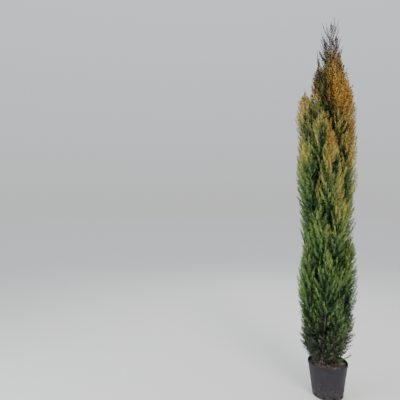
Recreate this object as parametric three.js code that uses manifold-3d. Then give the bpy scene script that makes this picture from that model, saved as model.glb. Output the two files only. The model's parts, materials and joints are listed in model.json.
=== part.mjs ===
// A lemon cypress in its nursery container: a slim column of upright, flame-shaped plumes round one trunk.
// Millimetres, +Z up. The origin is the middle of the container's flat underside, and -Y is the side seen
// first. Each plume of foliage keeps to its own space, so that no two of them touch.
import * as THREE from "three";
import { mergeVertices } from "three/addons/utils/BufferGeometryUtils.js";
import Module from "manifold-3d";

const wasm = await Module();
wasm.setup();

// The clearance between two pieces that carry each other.
const GAP = 0.3;
// A plume's stem starts this far past its bough, and is then cut to the clearance.
const BOUGH_GAP = 1.1 * GAP;
// Corners nearer to each other than this become one, and a corner this near to an axis lies on it.
const ROUNDING = 1e-3;
const GOLDEN_SHARE = (Math.sqrt(5) - 1) / 2;
const UP = new THREE.Vector3(0, 0, 1);

const CONTAINER = {
  height: 300,
  rimRadius: 175,
  rimDepth: 24,
  rimStep: 6,
  rimRound: 2,
  footRadius: 134,
  taper: 1,
  wall: 3,
  floor: 4,
  sides: 26,
};

const SOIL = { top: 276, crownRise: 7, flatRadius: 102 };

// Heights of the tree are counted from the soil.
const TRUNK = {
  height: 2990,
  footX: -42,
  lean: 70,
  sway: 7,
  swayTurns: 3,
  swayDepth: 0.8,
  footRadius: 22,
  tipRadius: 2.2,
  taper: 0.86,
  flare: 14,
  flareHeight: 42,
  sides: 9,
  rings: 20,
  ringCrowding: 1.35,
};

// How a limb leaves the trunk and straightens, and how far its plume's size and place may vary.
const LIMB = {
  arch: 3,
  splayCurve: 2,
  bow: 12,
  reachSpread: 0.1,
  girthSpread: 0.08,
  turnSpread: 10,
};
const BOUGH = { radius: 8.5, plumeGirth: 90, trunkShare: 0.8, tipShare: 0.66, sides: 6, rings: 4 };
const STEM = { tipRadius: 1.6, taper: 0.7, to: 0.96, sides: 3, rings: 6 };

// A plume is as wide as a flame, widest below its middle.
const FLAME = { lowness: 0.7, fullness: 0.8 };

// A plume's core. Its girth is a share of the plume's, it starts and ends at shares of the plume's length,
// and it takes up less than half of the way to the next plume.
const CORE = { girth: 0.34, from: 0.03, to: 0.9, wayShare: 0.42, sides: 5, rings: 5 };

// A spray is a flat three-pointed blade, thick along its middle. Lengths are shares of the blade's own, and
// the angles between a spray and its limb are radians.
const SPRAY = {
  shortest: 75,
  shortestOfGirth: 1.7,
  longest: 235,
  width: 0.54,
  widthSpread: [0.85, 1.15],
  tipWidth: 0.4,
  thickness: 0.08,
  shoulder: 0.45,
  notch: 0.6,
  notchWidth: 0.17,
  tooth: 0.72,
  bend: 0.07,
  steepest: 0.3,
  flattest: 0.86,
  openingSpread: 0.12,
  sweep: 2.1,
  sweepSpread: 0.3,
  rootDepth: 0.5,
};

// The shares of a plume's length between which its sprays grow, how unevenly, and where the last one starts.
const SPRAY_ROW = { from: 0.03, length: 0.91, unevenness: 0.6, tipFrom: 0.8 };
// A spray ends just past the plume's edge, a little further up than its root.
const SPRAY_END = { edge: 1.02, rise: 0.06, highest: 0.97 };
// A spray that doesn't fit is tried shorter, down to a share of the shortest one, and a shape that makes no
// sound join is tried a little slimmer.
const SHORTER = [1, 0.87, 0.75, 0.64];
const TOO_SHORT = 0.7;
const SLIMMER = [1, 0.97, 0.94, 0.91];

// How far a spray's points may go towards the next plume, how far past their own, and how clear of wood.
const SHARED_EDGE = 1.25;
const OWN_EDGE = 1.15;
const WOOD_CLEARANCE = 3;
const SPRAY_CLEARANCE = 1;
// The least radius that a plume's space has.
const LEAST_SPACE = 9;

// The crown from the soil up. `tips` are the heights of the plumes' tips, going round from `turn` in equal
// steps of which the first `skips` stay empty. `forks` is between which heights the limbs leave the trunk,
// `reach` how far from it their plumes stand, `splay` how far the tips lean on outwards, `lopsided` by what
// share both are greater towards +X and less towards -X, and `starts` the share of a limb that bears no
// foliage.
const TIERS = [
  {
    name: "skirt",
    tips: [690, 640, 720, 660, 710],
    turn: 248,
    skips: 1,
    forks: [50, 104],
    reach: 136,
    splay: 30,
    lopsided: 0.2,
    girth: 88,
    rise: 2.1,
    starts: 0.22,
    sprays: 12,
    bough: true,
  },
  {
    name: "low",
    tips: [1200, 1130, 1240, 1160, 1250, 1090],
    turn: 218,
    skips: 0,
    forks: [165, 300],
    reach: 174,
    splay: 26,
    lopsided: 0.08,
    girth: 104,
    rise: 1.5,
    starts: 0.2,
    sprays: 15,
    bough: true,
  },
  {
    name: "waist",
    tips: [1740, 1660, 1780, 1690, 1760, 1640],
    turn: 248,
    skips: 0,
    forks: [580, 740],
    reach: 142,
    splay: 44,
    lopsided: 0.1,
    girth: 90,
    rise: 1.25,
    starts: 0.18,
    sprays: 13,
    bough: false,
  },
  {
    name: "breast",
    tips: [2230, 2290, 2180, 2300, 2240, 2110],
    turn: 218,
    skips: 0,
    forks: [1020, 1180],
    reach: 182,
    splay: 34,
    lopsided: -0.1,
    girth: 104,
    rise: 1.2,
    starts: 0.2,
    sprays: 15,
    bough: true,
  },
  {
    name: "shoulder",
    tips: [2290, 2545, 2600, 2540, 2560, 2610],
    turn: 256,
    skips: 0,
    forks: [1560, 1720],
    reach: 158,
    splay: 40,
    lopsided: -0.2,
    girth: 94,
    rise: 1.15,
    starts: 0.16,
    sprays: 15,
    bough: false,
  },
  {
    name: "upper",
    tips: [2865, 2800, 2920, 2770, 2690],
    turn: 186,
    skips: 0,
    forks: [2080, 2240],
    reach: 70,
    splay: 38,
    lopsided: -0.1,
    girth: 64,
    rise: 1.1,
    starts: 0.14,
    sprays: 12,
    bough: false,
  },
  {
    name: "crest",
    tips: [2985, 3035, 3010],
    turn: 205,
    skips: 0,
    forks: [2620, 2740],
    reach: 26,
    splay: 44,
    lopsided: 0,
    girth: 38,
    rise: 1,
    starts: 0.1,
    sprays: 8,
    bough: false,
  },
  {
    name: "leader",
    tips: [3100],
    turn: 0,
    skips: 0,
    forks: [TRUNK.height, TRUNK.height],
    reach: 0,
    splay: 4,
    lopsided: 0,
    girth: 30,
    rise: 1,
    starts: 0,
    sprays: 5,
    bough: false,
  },
];

// Plumes this slender are sprays round a stem, without a core.
const SLENDER = 40;

const TINTS = {
  skirt: 0x59663a,
  low: 0x667d3d,
  waist: 0x76863e,
  breast: 0x97913f,
  shoulder: 0xaa9140,
  upper: 0xb08838,
  crest: 0x8d7238,
  leader: 0x8d7238,
};
const BARK = new THREE.MeshStandardMaterial({ color: 0x6a5f55, roughness: 0.9, metalness: 0 });
const PLASTIC = new THREE.MeshStandardMaterial({ color: 0x6f6a69, roughness: 0.7, metalness: 0 });
const EARTH = new THREE.MeshStandardMaterial({ color: 0x4b403a, roughness: 1, metalness: 0 });

function foliageOf(tier) {
  return new THREE.MeshStandardMaterial({ color: TINTS[tier.name], roughness: 0.8, metalness: 0 });
}

// A repeatable stream of numbers from 0 to 1.
function seeded(seed) {
  let state = Math.imul(seed, 2654435761) >>> 0;
  return () => {
    state = (Math.imul(state, 1664525) + 1013904223) >>> 0;
    return state / 4294967296;
  };
}

function solidOf(geometry) {
  const bare = geometry.clone();
  bare.deleteAttribute("normal");
  bare.deleteAttribute("uv");
  const merged = mergeVertices(bare, ROUNDING);
  return new wasm.Manifold(
    new wasm.Mesh({
      numProp: 3,
      vertProperties: new Float32Array(merged.attributes.position.array),
      triVerts: new Uint32Array(merged.index.array),
    }),
  );
}

function geometryOf(solid) {
  const mesh = solid.getMesh();
  const geometry = new THREE.BufferGeometry();
  geometry.setAttribute("position", new THREE.BufferAttribute(new Float32Array(mesh.vertProperties), 3));
  geometry.setIndex(new THREE.BufferAttribute(new Uint32Array(mesh.triVerts), 1));
  geometry.computeVertexNormals();
  return geometry;
}

// Loose scraps and sealed hollows are left behind. Rounding can close off a sliver, so the largest piece is
// taken once more after it.
function largestPiece(solid) {
  const larger = (best, piece) => (piece.volume() > best.volume() ? piece : best);
  const largest = (whole) => whole.decompose().reduce(larger);
  return largest(solidOf(geometryOf(largest(solid))));
}

// Whether two faces meet at each edge once the corners are rounded, which a knife edge in a join can spoil.
function isSound(solid) {
  const bare = geometryOf(solid);
  bare.deleteAttribute("normal");
  const corners = mergeVertices(bare, ROUNDING).index.array;
  const edges = new Set();
  for (let i = 0; i < corners.length; i++) {
    const edge = `${corners[i]} ${corners[i % 3 === 2 ? i - 2 : i + 1]}`;
    if (edges.has(edge)) return false;
    edges.add(edge);
  }
  return true;
}

function named(name, geometry, material) {
  const mesh = new THREE.Mesh(geometry, material);
  mesh.name = name;
  return mesh;
}

// Wraps a shape of unit length along Y round a path. `point`, `ahead` and `radius` take a share of the path,
// and `across` is a direction that stays square to it.
function wrapped(geometry, { point, ahead, radius, across }) {
  const positions = geometry.attributes.position;
  for (let i = 0; i < positions.count; i++) {
    const share = positions.getY(i) + 0.5;
    const out = new THREE.Vector2(positions.getX(i), positions.getZ(i));
    if (out.length() > ROUNDING) out.setLength(radius(share));
    const direction = ahead(share);
    const side = across.clone().addScaledVector(direction, -across.dot(direction)).normalize();
    const other = new THREE.Vector3().crossVectors(side, direction);
    const place = point(share).addScaledVector(side, out.x).addScaledVector(other, out.y);
    positions.setXYZ(i, place.x, place.y, place.z);
  }
  return geometry;
}

function trunkPoint(height) {
  const share = height / TRUNK.height;
  const sway = TRUNK.sway * Math.sin(share * Math.PI * TRUNK.swayTurns);
  const depth = TRUNK.swayDepth * sway * Math.cos(share * Math.PI);
  return new THREE.Vector3(TRUNK.footX + TRUNK.lean * share + sway, depth, SOIL.top + height);
}

function trunkRadius(height) {
  const share = Math.min(1, height / TRUNK.height);
  const flare = TRUNK.flare * Math.exp(-height / TRUNK.flareHeight);
  return TRUNK.tipRadius + (TRUNK.footRadius - TRUNK.tipRadius) * (1 - share) ** TRUNK.taper + flare;
}

// The trunk from its flat cut on the soil to its tip. `extra` thickens it, as a cutter for its neighbours.
function trunkSolid(extra) {
  const foot = SOIL.crownRise + GAP - extra;
  const top = TRUNK.height + extra;
  const height = (share) => foot + (top - foot) * share ** TRUNK.ringCrowding;
  return solidOf(
    wrapped(new THREE.CylinderGeometry(1, 1, 1, TRUNK.sides, TRUNK.rings), {
      point: (share) => trunkPoint(height(share)),
      ahead: () => UP,
      radius: (share) => trunkRadius(height(share)) + extra,
      across: new THREE.Vector3(1, 0, 0),
    }),
  );
}

// One plume's place in the crown, and the numbers that its limb and its foliage follow.
function plumeOf(tier, tierIndex, i) {
  const random = seeded(97 * (tierIndex + 1) + 13 * (i + 1));
  const uneven = (spread) => 1 + spread * (random() - 0.5);
  const step = 360 / (tier.tips.length + tier.skips);
  const turn = tier.turn - (i + tier.skips) * step + LIMB.turnSpread * (random() - 0.5);
  const azimuth = THREE.MathUtils.degToRad(turn);
  const evenness = 1 + tier.lopsided * Math.cos(azimuth);
  return {
    tier,
    name: `${tier.name}_${i + 1}`,
    outwards: new THREE.Vector3(Math.cos(azimuth), Math.sin(azimuth), 0),
    sideways: new THREE.Vector3(-Math.sin(azimuth), Math.cos(azimuth), 0),
    fork: THREE.MathUtils.lerp(...tier.forks, 0.5 * (i % 2) + (0.5 * i) / tier.tips.length),
    tip: tier.tips[i],
    reach: evenness * tier.reach * uneven(LIMB.reachSpread),
    splay: evenness * tier.splay,
    girth: tier.girth * uneven(LIMB.girthSpread),
    bow: LIMB.bow * (random() - 0.5),
    random,
  };
}

// A limb leaves the trunk, bends upwards and ends at its plume's tip.
function limbPoint(plume, share) {
  const { tier, outwards, sideways } = plume;
  const height = plume.fork + (plume.tip - plume.fork) * share ** tier.rise;
  const out = plume.reach * (1 - (1 - share) ** LIMB.arch) + plume.splay * share ** LIMB.splayCurve;
  const aside = plume.bow * Math.sin(share * Math.PI);
  return trunkPoint(height).addScaledVector(outwards, out).addScaledVector(sideways, aside);
}

function limbDirection(plume, share) {
  const step = 0.01;
  const low = limbPoint(plume, Math.max(0, share - step));
  return limbPoint(plume, Math.min(1, share + step)).sub(low).normalize();
}

function limbRadius(plume, share) {
  const { starts } = plume.tier;
  const wanted = BOUGH.radius * Math.sqrt(plume.girth / BOUGH.plumeGirth);
  const foot = Math.min(wanted, BOUGH.trunkShare * trunkRadius(plume.fork));
  const knee = foot * BOUGH.tipShare;
  if (share < starts) return foot + (knee - foot) * (share / starts);
  return knee + (STEM.tipRadius - knee) * ((share - starts) / (1 - starts)) ** STEM.taper;
}

// A tapering length of limb between two shares of it. `extra` thickens it, as a cutter for its neighbours.
function limbLength(plume, { from, to, sides, rings, extra = 0 }) {
  const at = (share) => from + (to - from) * share;
  return solidOf(
    wrapped(new THREE.CylinderGeometry(1, 1, 1, sides, rings), {
      point: (share) => limbPoint(plume, at(share)),
      ahead: (share) => limbDirection(plume, at(share)),
      radius: (share) => limbRadius(plume, at(share)) + extra,
      across: plume.sideways,
    }),
  );
}

// The share of a limb that is one millimetre long where its foliage starts.
function shareOfMillimetre(plume) {
  const step = 0.002;
  const { starts } = plume.tier;
  return step / limbPoint(plume, starts).distanceTo(limbPoint(plume, starts + step));
}

function boughSolid(plume, extra) {
  const to = plume.tier.starts + extra * shareOfMillimetre(plume);
  return limbLength(plume, { from: 0, to, sides: BOUGH.sides, rings: BOUGH.rings, extra });
}

// The place on the limb at a share of the plume's own length, which runs from its first foliage to its tip.
function limbShare(plume, share) {
  return plume.tier.starts + (1 - plume.tier.starts) * share;
}

function plumeRadius(plume, share) {
  return plume.girth * Math.max(0, Math.sin(Math.PI * share ** FLAME.lowness)) ** FLAME.fullness;
}

// The plume's middle line, with the plume's radius at each point.
function spaceOf(plume) {
  const steps = 28;
  return Array.from({ length: steps + 1 }, (_, k) => {
    const share = k / steps;
    const radius = Math.max(LEAST_SPACE, plumeRadius(plume, share));
    return { point: limbPoint(plume, limbShare(plume, share)), radius };
  });
}

// The bare part of a limb, as a row of points with the limb's radius at each.
function bareLimbOf(plume) {
  const steps = 10;
  return Array.from({ length: steps + 1 }, (_, k) => {
    const share = (k / steps) * plume.tier.starts;
    return { point: limbPoint(plume, share), radius: limbRadius(plume, share) };
  });
}

function distanceToTrunk(point) {
  const height = point.z - SOIL.top;
  const centre = trunkPoint(Math.min(height, TRUNK.height));
  return point.distanceTo(centre) - trunkRadius(height);
}

// Distance to a plume's middle line, as a share of its radius there.
function nearness(space, point) {
  return Math.min(...space.map((place) => place.point.distanceTo(point) / place.radius));
}

// How thick a core may be at a point on its plume's middle line, so that it stays clear of everything else.
function coreRoom(crown, plume, point) {
  const neighbours = crown.plumes.filter((other) => other !== plume);
  const toLines = neighbours.flatMap((other) =>
    other.space.map((place) => CORE.wayShare * place.point.distanceTo(point)),
  );
  const toLimbs = neighbours.flatMap((other) =>
    other.bareLimb.map((place) => place.point.distanceTo(point) - place.radius - WOOD_CLEARANCE),
  );
  return Math.min(distanceToTrunk(point) - WOOD_CLEARANCE, ...toLines, ...toLimbs);
}

function coreSolid(crown, plume, girth) {
  const at = (share) => limbShare(plume, CORE.from + (CORE.to - CORE.from) * share);
  const radius = (share) => {
    const wanted = CORE.girth * plumeRadius(plume, CORE.from + (CORE.to - CORE.from) * share);
    const room = Math.max(STEM.tipRadius, coreRoom(crown, plume, limbPoint(plume, at(share))));
    return girth * Math.min(wanted, room) * Math.sqrt(Math.sin(Math.PI * share));
  };
  return solidOf(
    wrapped(new THREE.SphereGeometry(0.5, CORE.sides, CORE.rings), {
      point: (share) => limbPoint(plume, at(share)),
      ahead: (share) => limbDirection(plume, at(share)),
      radius,
      across: plume.sideways,
    }),
  );
}

function isClearOfWood(crown, plume, point) {
  if (point.z < SOIL.top + SOIL.crownRise + WOOD_CLEARANCE) return false;
  if (distanceToTrunk(point) < WOOD_CLEARANCE) return false;
  return crown.plumes.every((other) =>
    other.bareLimb.every((place) => place.point.distanceTo(point) > place.radius + WOOD_CLEARANCE),
  );
}

function isInOwnSpace(crown, plume, point) {
  const own = nearness(plume.space, point);
  if (own > OWN_EDGE) return false;
  return crown.plumes.every((other) => other === plume || own < SHARED_EDGE * nearness(other.space, point));
}

// A spray's corners: its root, its three points with a notch either side of the middle one, and its thick
// middle.
function sprayCorners({ root, ahead, aside, outwards, length, width }) {
  const corner = (along, across, proud) =>
    root
      .clone()
      .addScaledVector(ahead, along * length)
      .addScaledVector(aside, across * width * length)
      .addScaledVector(outwards, proud * length + SPRAY.bend * length * Math.sin(Math.PI * along));
  return [
    corner(0, 0, 0),
    corner(SPRAY.tooth, 0.5, 0),
    corner(SPRAY.notch, SPRAY.notchWidth, 0),
    corner(1, 0, 0),
    corner(SPRAY.notch, -SPRAY.notchWidth, 0),
    corner(SPRAY.tooth, -0.5, 0),
    corner(SPRAY.shoulder, 0, SPRAY.thickness / 2),
    corner(SPRAY.shoulder, 0, -SPRAY.thickness / 2),
  ];
}

function spraySolid(corners) {
  const rim = [0, 1, 2, 3, 4, 5];
  const front = rim.flatMap((a) => [6, a, (a + 1) % 6]);
  const back = rim.flatMap((a) => [7, (a + 1) % 6, a]);
  return solidOf(new THREE.BufferGeometry().setFromPoints(corners).setIndex([...front, ...back]));
}

// Two directions square to a spray: across its blade, and out from it.
function bladeFrame(ahead, reference) {
  const aside = new THREE.Vector3().crossVectors(ahead, reference).normalize();
  return { ahead, aside, outwards: new THREE.Vector3().crossVectors(aside, ahead).normalize() };
}

// A spray's corners moved out from its middle, so that what stays clear of the result stays clear of the
// spray.
function grown(corners, extra) {
  const sum = corners.reduce((total, corner) => total.add(corner), new THREE.Vector3());
  const middle = sum.divideScalar(corners.length);
  const outwards = (corner) => corner.clone().sub(middle).normalize();
  return corners.map((corner) => corner.clone().addScaledVector(outwards(corner), extra));
}

function touchesOthers(crown, plume, corners) {
  const room = spraySolid(grown(corners, SPRAY_CLEARANCE));
  const box = new THREE.Box3().setFromPoints(corners).expandByScalar(SPRAY_CLEARANCE);
  if (room.intersect(crown.trunkRoom).volume() > 0) return true;
  return crown.plumes.some(
    (other) => other !== plume && box.intersectsBox(other.box) && room.intersect(other.solid).volume() > 0,
  );
}

function fits(crown, plume, corners) {
  const shown = corners.slice(1);
  if (!shown.every((corner) => isInOwnSpace(crown, plume, corner))) return false;
  if (!shown.every((corner) => isClearOfWood(crown, plume, corner))) return false;
  return !touchesOthers(crown, plume, corners);
}

// A direction between two that are square to each other, turned by an angle from the first.
function between(first, second, angle) {
  return first.clone().multiplyScalar(Math.cos(angle)).addScaledVector(second, Math.sin(angle));
}

// The sprays of one plume, set along its middle line by the golden share and facing away from the trunk, as
// only the outside of such a crown is green. One that would leave the plume's space or touch anything else is
// tried shorter, and then skipped.
function addSprays(crown, plume) {
  const { tier, random } = plume;
  const shortest = Math.min(SPRAY.shortest, SPRAY.shortestOfGirth * plume.girth);
  for (let k = 0; k < tier.sprays; k++) {
    const place = k + SPRAY_ROW.unevenness * random();
    const share = SPRAY_ROW.from + (SPRAY_ROW.length * place) / tier.sprays;
    const along = limbDirection(plume, limbShare(plume, share));
    const sweep = SPRAY.sweep * (2 * ((k * GOLDEN_SHARE) % 1) - 1);
    const turn = Math.PI / 2 + sweep + SPRAY.sweepSpread * (random() - 0.5);
    const other = new THREE.Vector3().crossVectors(plume.sideways, along);
    const out = between(plume.sideways, other, turn);
    const steepness = THREE.MathUtils.lerp(SPRAY.flattest, SPRAY.steepest, share);
    const opening = steepness + SPRAY.openingSpread * (random() - 0.5);
    const ahead = between(along, out, opening);
    const sunk = Math.max(1, SPRAY.rootDepth * CORE.girth * plumeRadius(plume, share));
    const root = limbPoint(plume, limbShare(plume, share));
    if (plume.girth > SLENDER) root.addScaledVector(out, sunk);
    const end = Math.min(SPRAY_END.highest, share + SPRAY_END.rise);
    const wanted = (SPRAY_END.edge * plumeRadius(plume, end)) / Math.sin(opening);
    const width = SPRAY.width * THREE.MathUtils.lerp(...SPRAY.widthSpread, random());
    const corners = SHORTER.map((cut) => cut * THREE.MathUtils.clamp(wanted, shortest, SPRAY.longest))
      .filter((length) => length > TOO_SHORT * shortest)
      .map((length) => sprayCorners({ root, ...bladeFrame(ahead, out), length, width }))
      .find((candidate) => fits(crown, plume, candidate));
    if (corners) plume.solid = joinedSoundly(plume.solid, [spraySolid(corners)]);
  }
}

// The spray that ends a plume, along the last of its stem.
function tipSpray(plume, girth) {
  const root = limbPoint(plume, limbShare(plume, SPRAY_ROW.tipFrom));
  const ahead = limbPoint(plume, 1).sub(root);
  const length = ahead.length();
  const frame = bladeFrame(ahead.normalize(), plume.outwards);
  return spraySolid(sprayCorners({ root, ...frame, length, width: girth * SPRAY.tipWidth }));
}

// Adds the first of some shapes that makes a sound join, or else none.
function joinedSoundly(fused, shapes) {
  for (const shape of shapes) {
    const joined = fused.add(shape);
    if (isSound(joined)) return largestPiece(joined);
  }
  return fused;
}

// A plume's stem with its core and the spray at its tip, cut clear of the trunk and of its own bough.
function stemAndCore(crown, plume) {
  const stem = { from: 0, to: STEM.to, sides: STEM.sides, rings: STEM.rings };
  if (plume.tier.bough) stem.from = plume.tier.starts + BOUGH_GAP * shareOfMillimetre(plume);
  const cores = plume.girth > SLENDER ? SLIMMER.map((girth) => coreSolid(crown, plume, girth)) : [];
  const tips = SLIMMER.map((girth) => tipSpray(plume, girth));
  const whole = joinedSoundly(joinedSoundly(limbLength(plume, stem), cores), tips);
  const joined = whole.subtract(crown.trunkRoom);
  return largestPiece(plume.tier.bough ? joined.subtract(boughSolid(plume, GAP)) : joined);
}

function turned(profile) {
  const points = profile.map(([radius, z]) => new THREE.Vector2(radius, z));
  return new THREE.LatheGeometry(points, CONTAINER.sides).rotateX(Math.PI / 2);
}

function containerGeometry() {
  const { height, rimRadius, rimDepth, rimStep, rimRound, footRadius, taper, wall, floor } = CONTAINER;
  const wallRadius = rimRadius - rimStep;
  return turned([
    [0, 0],
    [footRadius, 0],
    [wallRadius - taper, height - rimDepth - rimStep],
    [rimRadius, height - rimDepth],
    [rimRadius, height - rimRound],
    [rimRadius - rimRound, height],
    [rimRadius - rimStep, height],
    [wallRadius - wall, height - rimDepth],
    [footRadius - wall, floor],
    [0, floor],
  ]);
}

// The root ball, which fills the container and rests on its floor.
function soilGeometry() {
  const { rimRadius, rimStep, rimDepth, height, footRadius, wall, floor } = CONTAINER;
  const innerTop = rimRadius - rimStep - wall;
  const innerFoot = footRadius - wall;
  const slope = (innerTop - innerFoot) / (height - rimDepth - floor);
  const radiusAt = (z) => innerFoot + slope * (z - floor) - 2 * GAP;
  const bottom = floor + GAP;
  const shoulder = SOIL.top - SOIL.crownRise;
  return turned([
    [0, bottom],
    [radiusAt(bottom), bottom],
    [radiusAt(shoulder), shoulder],
    [radiusAt(SOIL.top) - SOIL.crownRise, SOIL.top],
    [SOIL.flatRadius, SOIL.top + SOIL.crownRise],
    [0, SOIL.top + SOIL.crownRise],
  ]);
}

function crownOf(trunkRoom) {
  const plumes = TIERS.flatMap((tier, tierIndex) => tier.tips.map((_, i) => plumeOf(tier, tierIndex, i)));
  const crown = { plumes, trunkRoom };
  for (const plume of plumes) {
    plume.space = spaceOf(plume);
    plume.bareLimb = bareLimbOf(plume);
    const points = [...plume.space, ...plume.bareLimb].map((place) => place.point);
    plume.box = new THREE.Box3().setFromPoints(points).expandByScalar(OWN_EDGE * plume.girth);
  }
  for (const plume of plumes) plume.solid = stemAndCore(crown, plume);
  for (const plume of plumes) addSprays(crown, plume);
  return crown;
}

const cypress = new THREE.Group();
cypress.name = "lemon_cypress";

const crown = crownOf(trunkSolid(GAP));
cypress.add(named("container", containerGeometry(), PLASTIC));
cypress.add(named("potting_soil", soilGeometry(), EARTH));
cypress.add(named("trunk", geometryOf(trunkSolid(0)), BARK));
for (const plume of crown.plumes) {
  if (plume.tier.bough) {
    const bough = largestPiece(boughSolid(plume, 0).subtract(crown.trunkRoom));
    cypress.add(named(`bough_${plume.name}`, geometryOf(bough), BARK));
  }
  cypress.add(named(`plume_${plume.name}`, geometryOf(plume.solid), foliageOf(plume.tier)));
}

export default cypress;
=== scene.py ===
"""A lemon cypress in its nursery container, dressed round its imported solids.

The trunk, the limbs and the plumes follow the rule that the solids follow, written again here in metres and
carried on to twigs and sprays. It is laid out as an add-on and run as a script.
"""

import json
import math
from dataclasses import dataclass

import bmesh
import bpy
import numpy as np
from bpy.props import FloatProperty, FloatVectorProperty, IntProperty, PointerProperty
from bpy.types import Operator, Panel, PropertyGroup
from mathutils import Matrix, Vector, noise

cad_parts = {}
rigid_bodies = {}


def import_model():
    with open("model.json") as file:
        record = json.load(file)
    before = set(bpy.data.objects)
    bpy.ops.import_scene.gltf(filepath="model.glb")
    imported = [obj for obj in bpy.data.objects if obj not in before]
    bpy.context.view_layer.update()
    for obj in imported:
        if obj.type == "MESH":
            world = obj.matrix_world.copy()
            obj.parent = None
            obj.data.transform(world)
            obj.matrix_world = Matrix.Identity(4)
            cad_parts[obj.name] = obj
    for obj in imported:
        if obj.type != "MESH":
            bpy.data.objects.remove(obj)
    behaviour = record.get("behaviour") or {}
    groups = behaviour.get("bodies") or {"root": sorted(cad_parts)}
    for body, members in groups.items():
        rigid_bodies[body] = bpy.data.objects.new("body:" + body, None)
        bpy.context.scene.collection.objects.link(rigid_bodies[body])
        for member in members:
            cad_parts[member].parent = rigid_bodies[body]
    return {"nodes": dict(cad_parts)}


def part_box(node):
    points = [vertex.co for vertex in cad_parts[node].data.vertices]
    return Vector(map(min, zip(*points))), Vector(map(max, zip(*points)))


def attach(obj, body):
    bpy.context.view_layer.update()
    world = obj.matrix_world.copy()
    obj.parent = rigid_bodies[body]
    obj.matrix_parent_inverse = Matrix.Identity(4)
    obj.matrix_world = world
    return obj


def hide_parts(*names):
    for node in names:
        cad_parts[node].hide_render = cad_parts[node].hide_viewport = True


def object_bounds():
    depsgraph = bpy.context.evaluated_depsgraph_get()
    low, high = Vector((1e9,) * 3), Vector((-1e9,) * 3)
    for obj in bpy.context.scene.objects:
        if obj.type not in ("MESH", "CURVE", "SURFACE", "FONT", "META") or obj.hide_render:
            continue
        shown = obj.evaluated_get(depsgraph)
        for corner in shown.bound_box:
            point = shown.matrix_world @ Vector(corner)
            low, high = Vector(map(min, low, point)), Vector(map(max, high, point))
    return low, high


bl_info = {
    "name": "Lemon cypress in a container",
    "version": (1, 0, 0),
    "blender": (4, 5, 0),
    "location": "3D View > Sidebar > Cypress",
    "description": "Builds a lemon cypress, gold at the top and green at the foot, with its container",
    "category": "Add Mesh",
}

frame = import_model()
CAD_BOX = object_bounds()

GOLDEN_SHARE = (math.sqrt(5) - 1) / 2
GOLDEN_ANGLE = 2 * math.pi * GOLDEN_SHARE
UP = np.array([0.0, 0.0, 1.0])

# The trunk. Heights are counted from the soil.
SOIL_TOP = 0.276
SOIL_CROWN = 0.007
SOIL_FLAT_RADIUS = 0.102
TRUNK_HEIGHT = 2.99
TRUNK_FOOT_X = -0.042
TRUNK_LEAN = 0.07
TRUNK_SWAY = 0.007
TRUNK_SWAY_BACK = 0.8
TRUNK_FOOT_RADIUS = 0.022
TRUNK_TIP_RADIUS = 0.0022
TRUNK_TAPER = 0.86
TRUNK_FLARE = 0.014
TRUNK_FLARE_HEIGHT = 0.042

# A limb's radius goes by the root of its plume's girth, is at most a share of the trunk's, and tapers to the
# plume's foot and from there to the tip.
BOUGH_RADIUS = 0.0085
BOUGH_GIRTH = 0.09
BOUGH_TRUNK_SHARE = 0.8
BOUGH_TIP_SHARE = 0.66
STEM_TIP_RADIUS = 0.0016
STEM_TAPER = 0.7
# How far a limb bows aside, and how much its azimuth, in degrees, its reach and its girth vary.
LIMB_BOW = 0.012
LIMB_TURN_VARIES = 10
LIMB_REACH_VARIES = 0.1
LIMB_GIRTH_VARIES = 0.08
PLUME_LEAST_RADIUS = 0.009
# The less each is, the further down a plume is widest, and the blunter it is.
PLUME_DROOP = 0.7
PLUME_BLUNTNESS = 0.8

# The branches of a plume, by the rule of the solids' sprays.
BRANCH_STEEPEST = 0.3
BRANCH_FLATTEST = 0.86
BRANCH_SWEEP = 2.1
BRANCH_SHORTEST = 0.075
BRANCH_LONGEST = 0.235
SHARED_EDGE = 1.25
OWN_EDGE = 1.15
WOOD_CLEARANCE = 0.003
SOIL_CLEARANCE = 0.004


@dataclass(frozen=True)
class Tier:
    """One ring of plumes. Heights in metres from the soil, and `turn` in degrees."""

    name: str
    tips: tuple
    turn: float
    forks: tuple
    reach: float
    splay: float
    girth: float
    rise: float
    starts: float
    sprays: int
    skips: int = 0
    # By what share the reach and splay are greater towards +X, and less towards -X.
    lopsided: float = 0
    # Where on the plume its limb's own end begins, as a branch.
    end_shoot: float = 0.5


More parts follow.
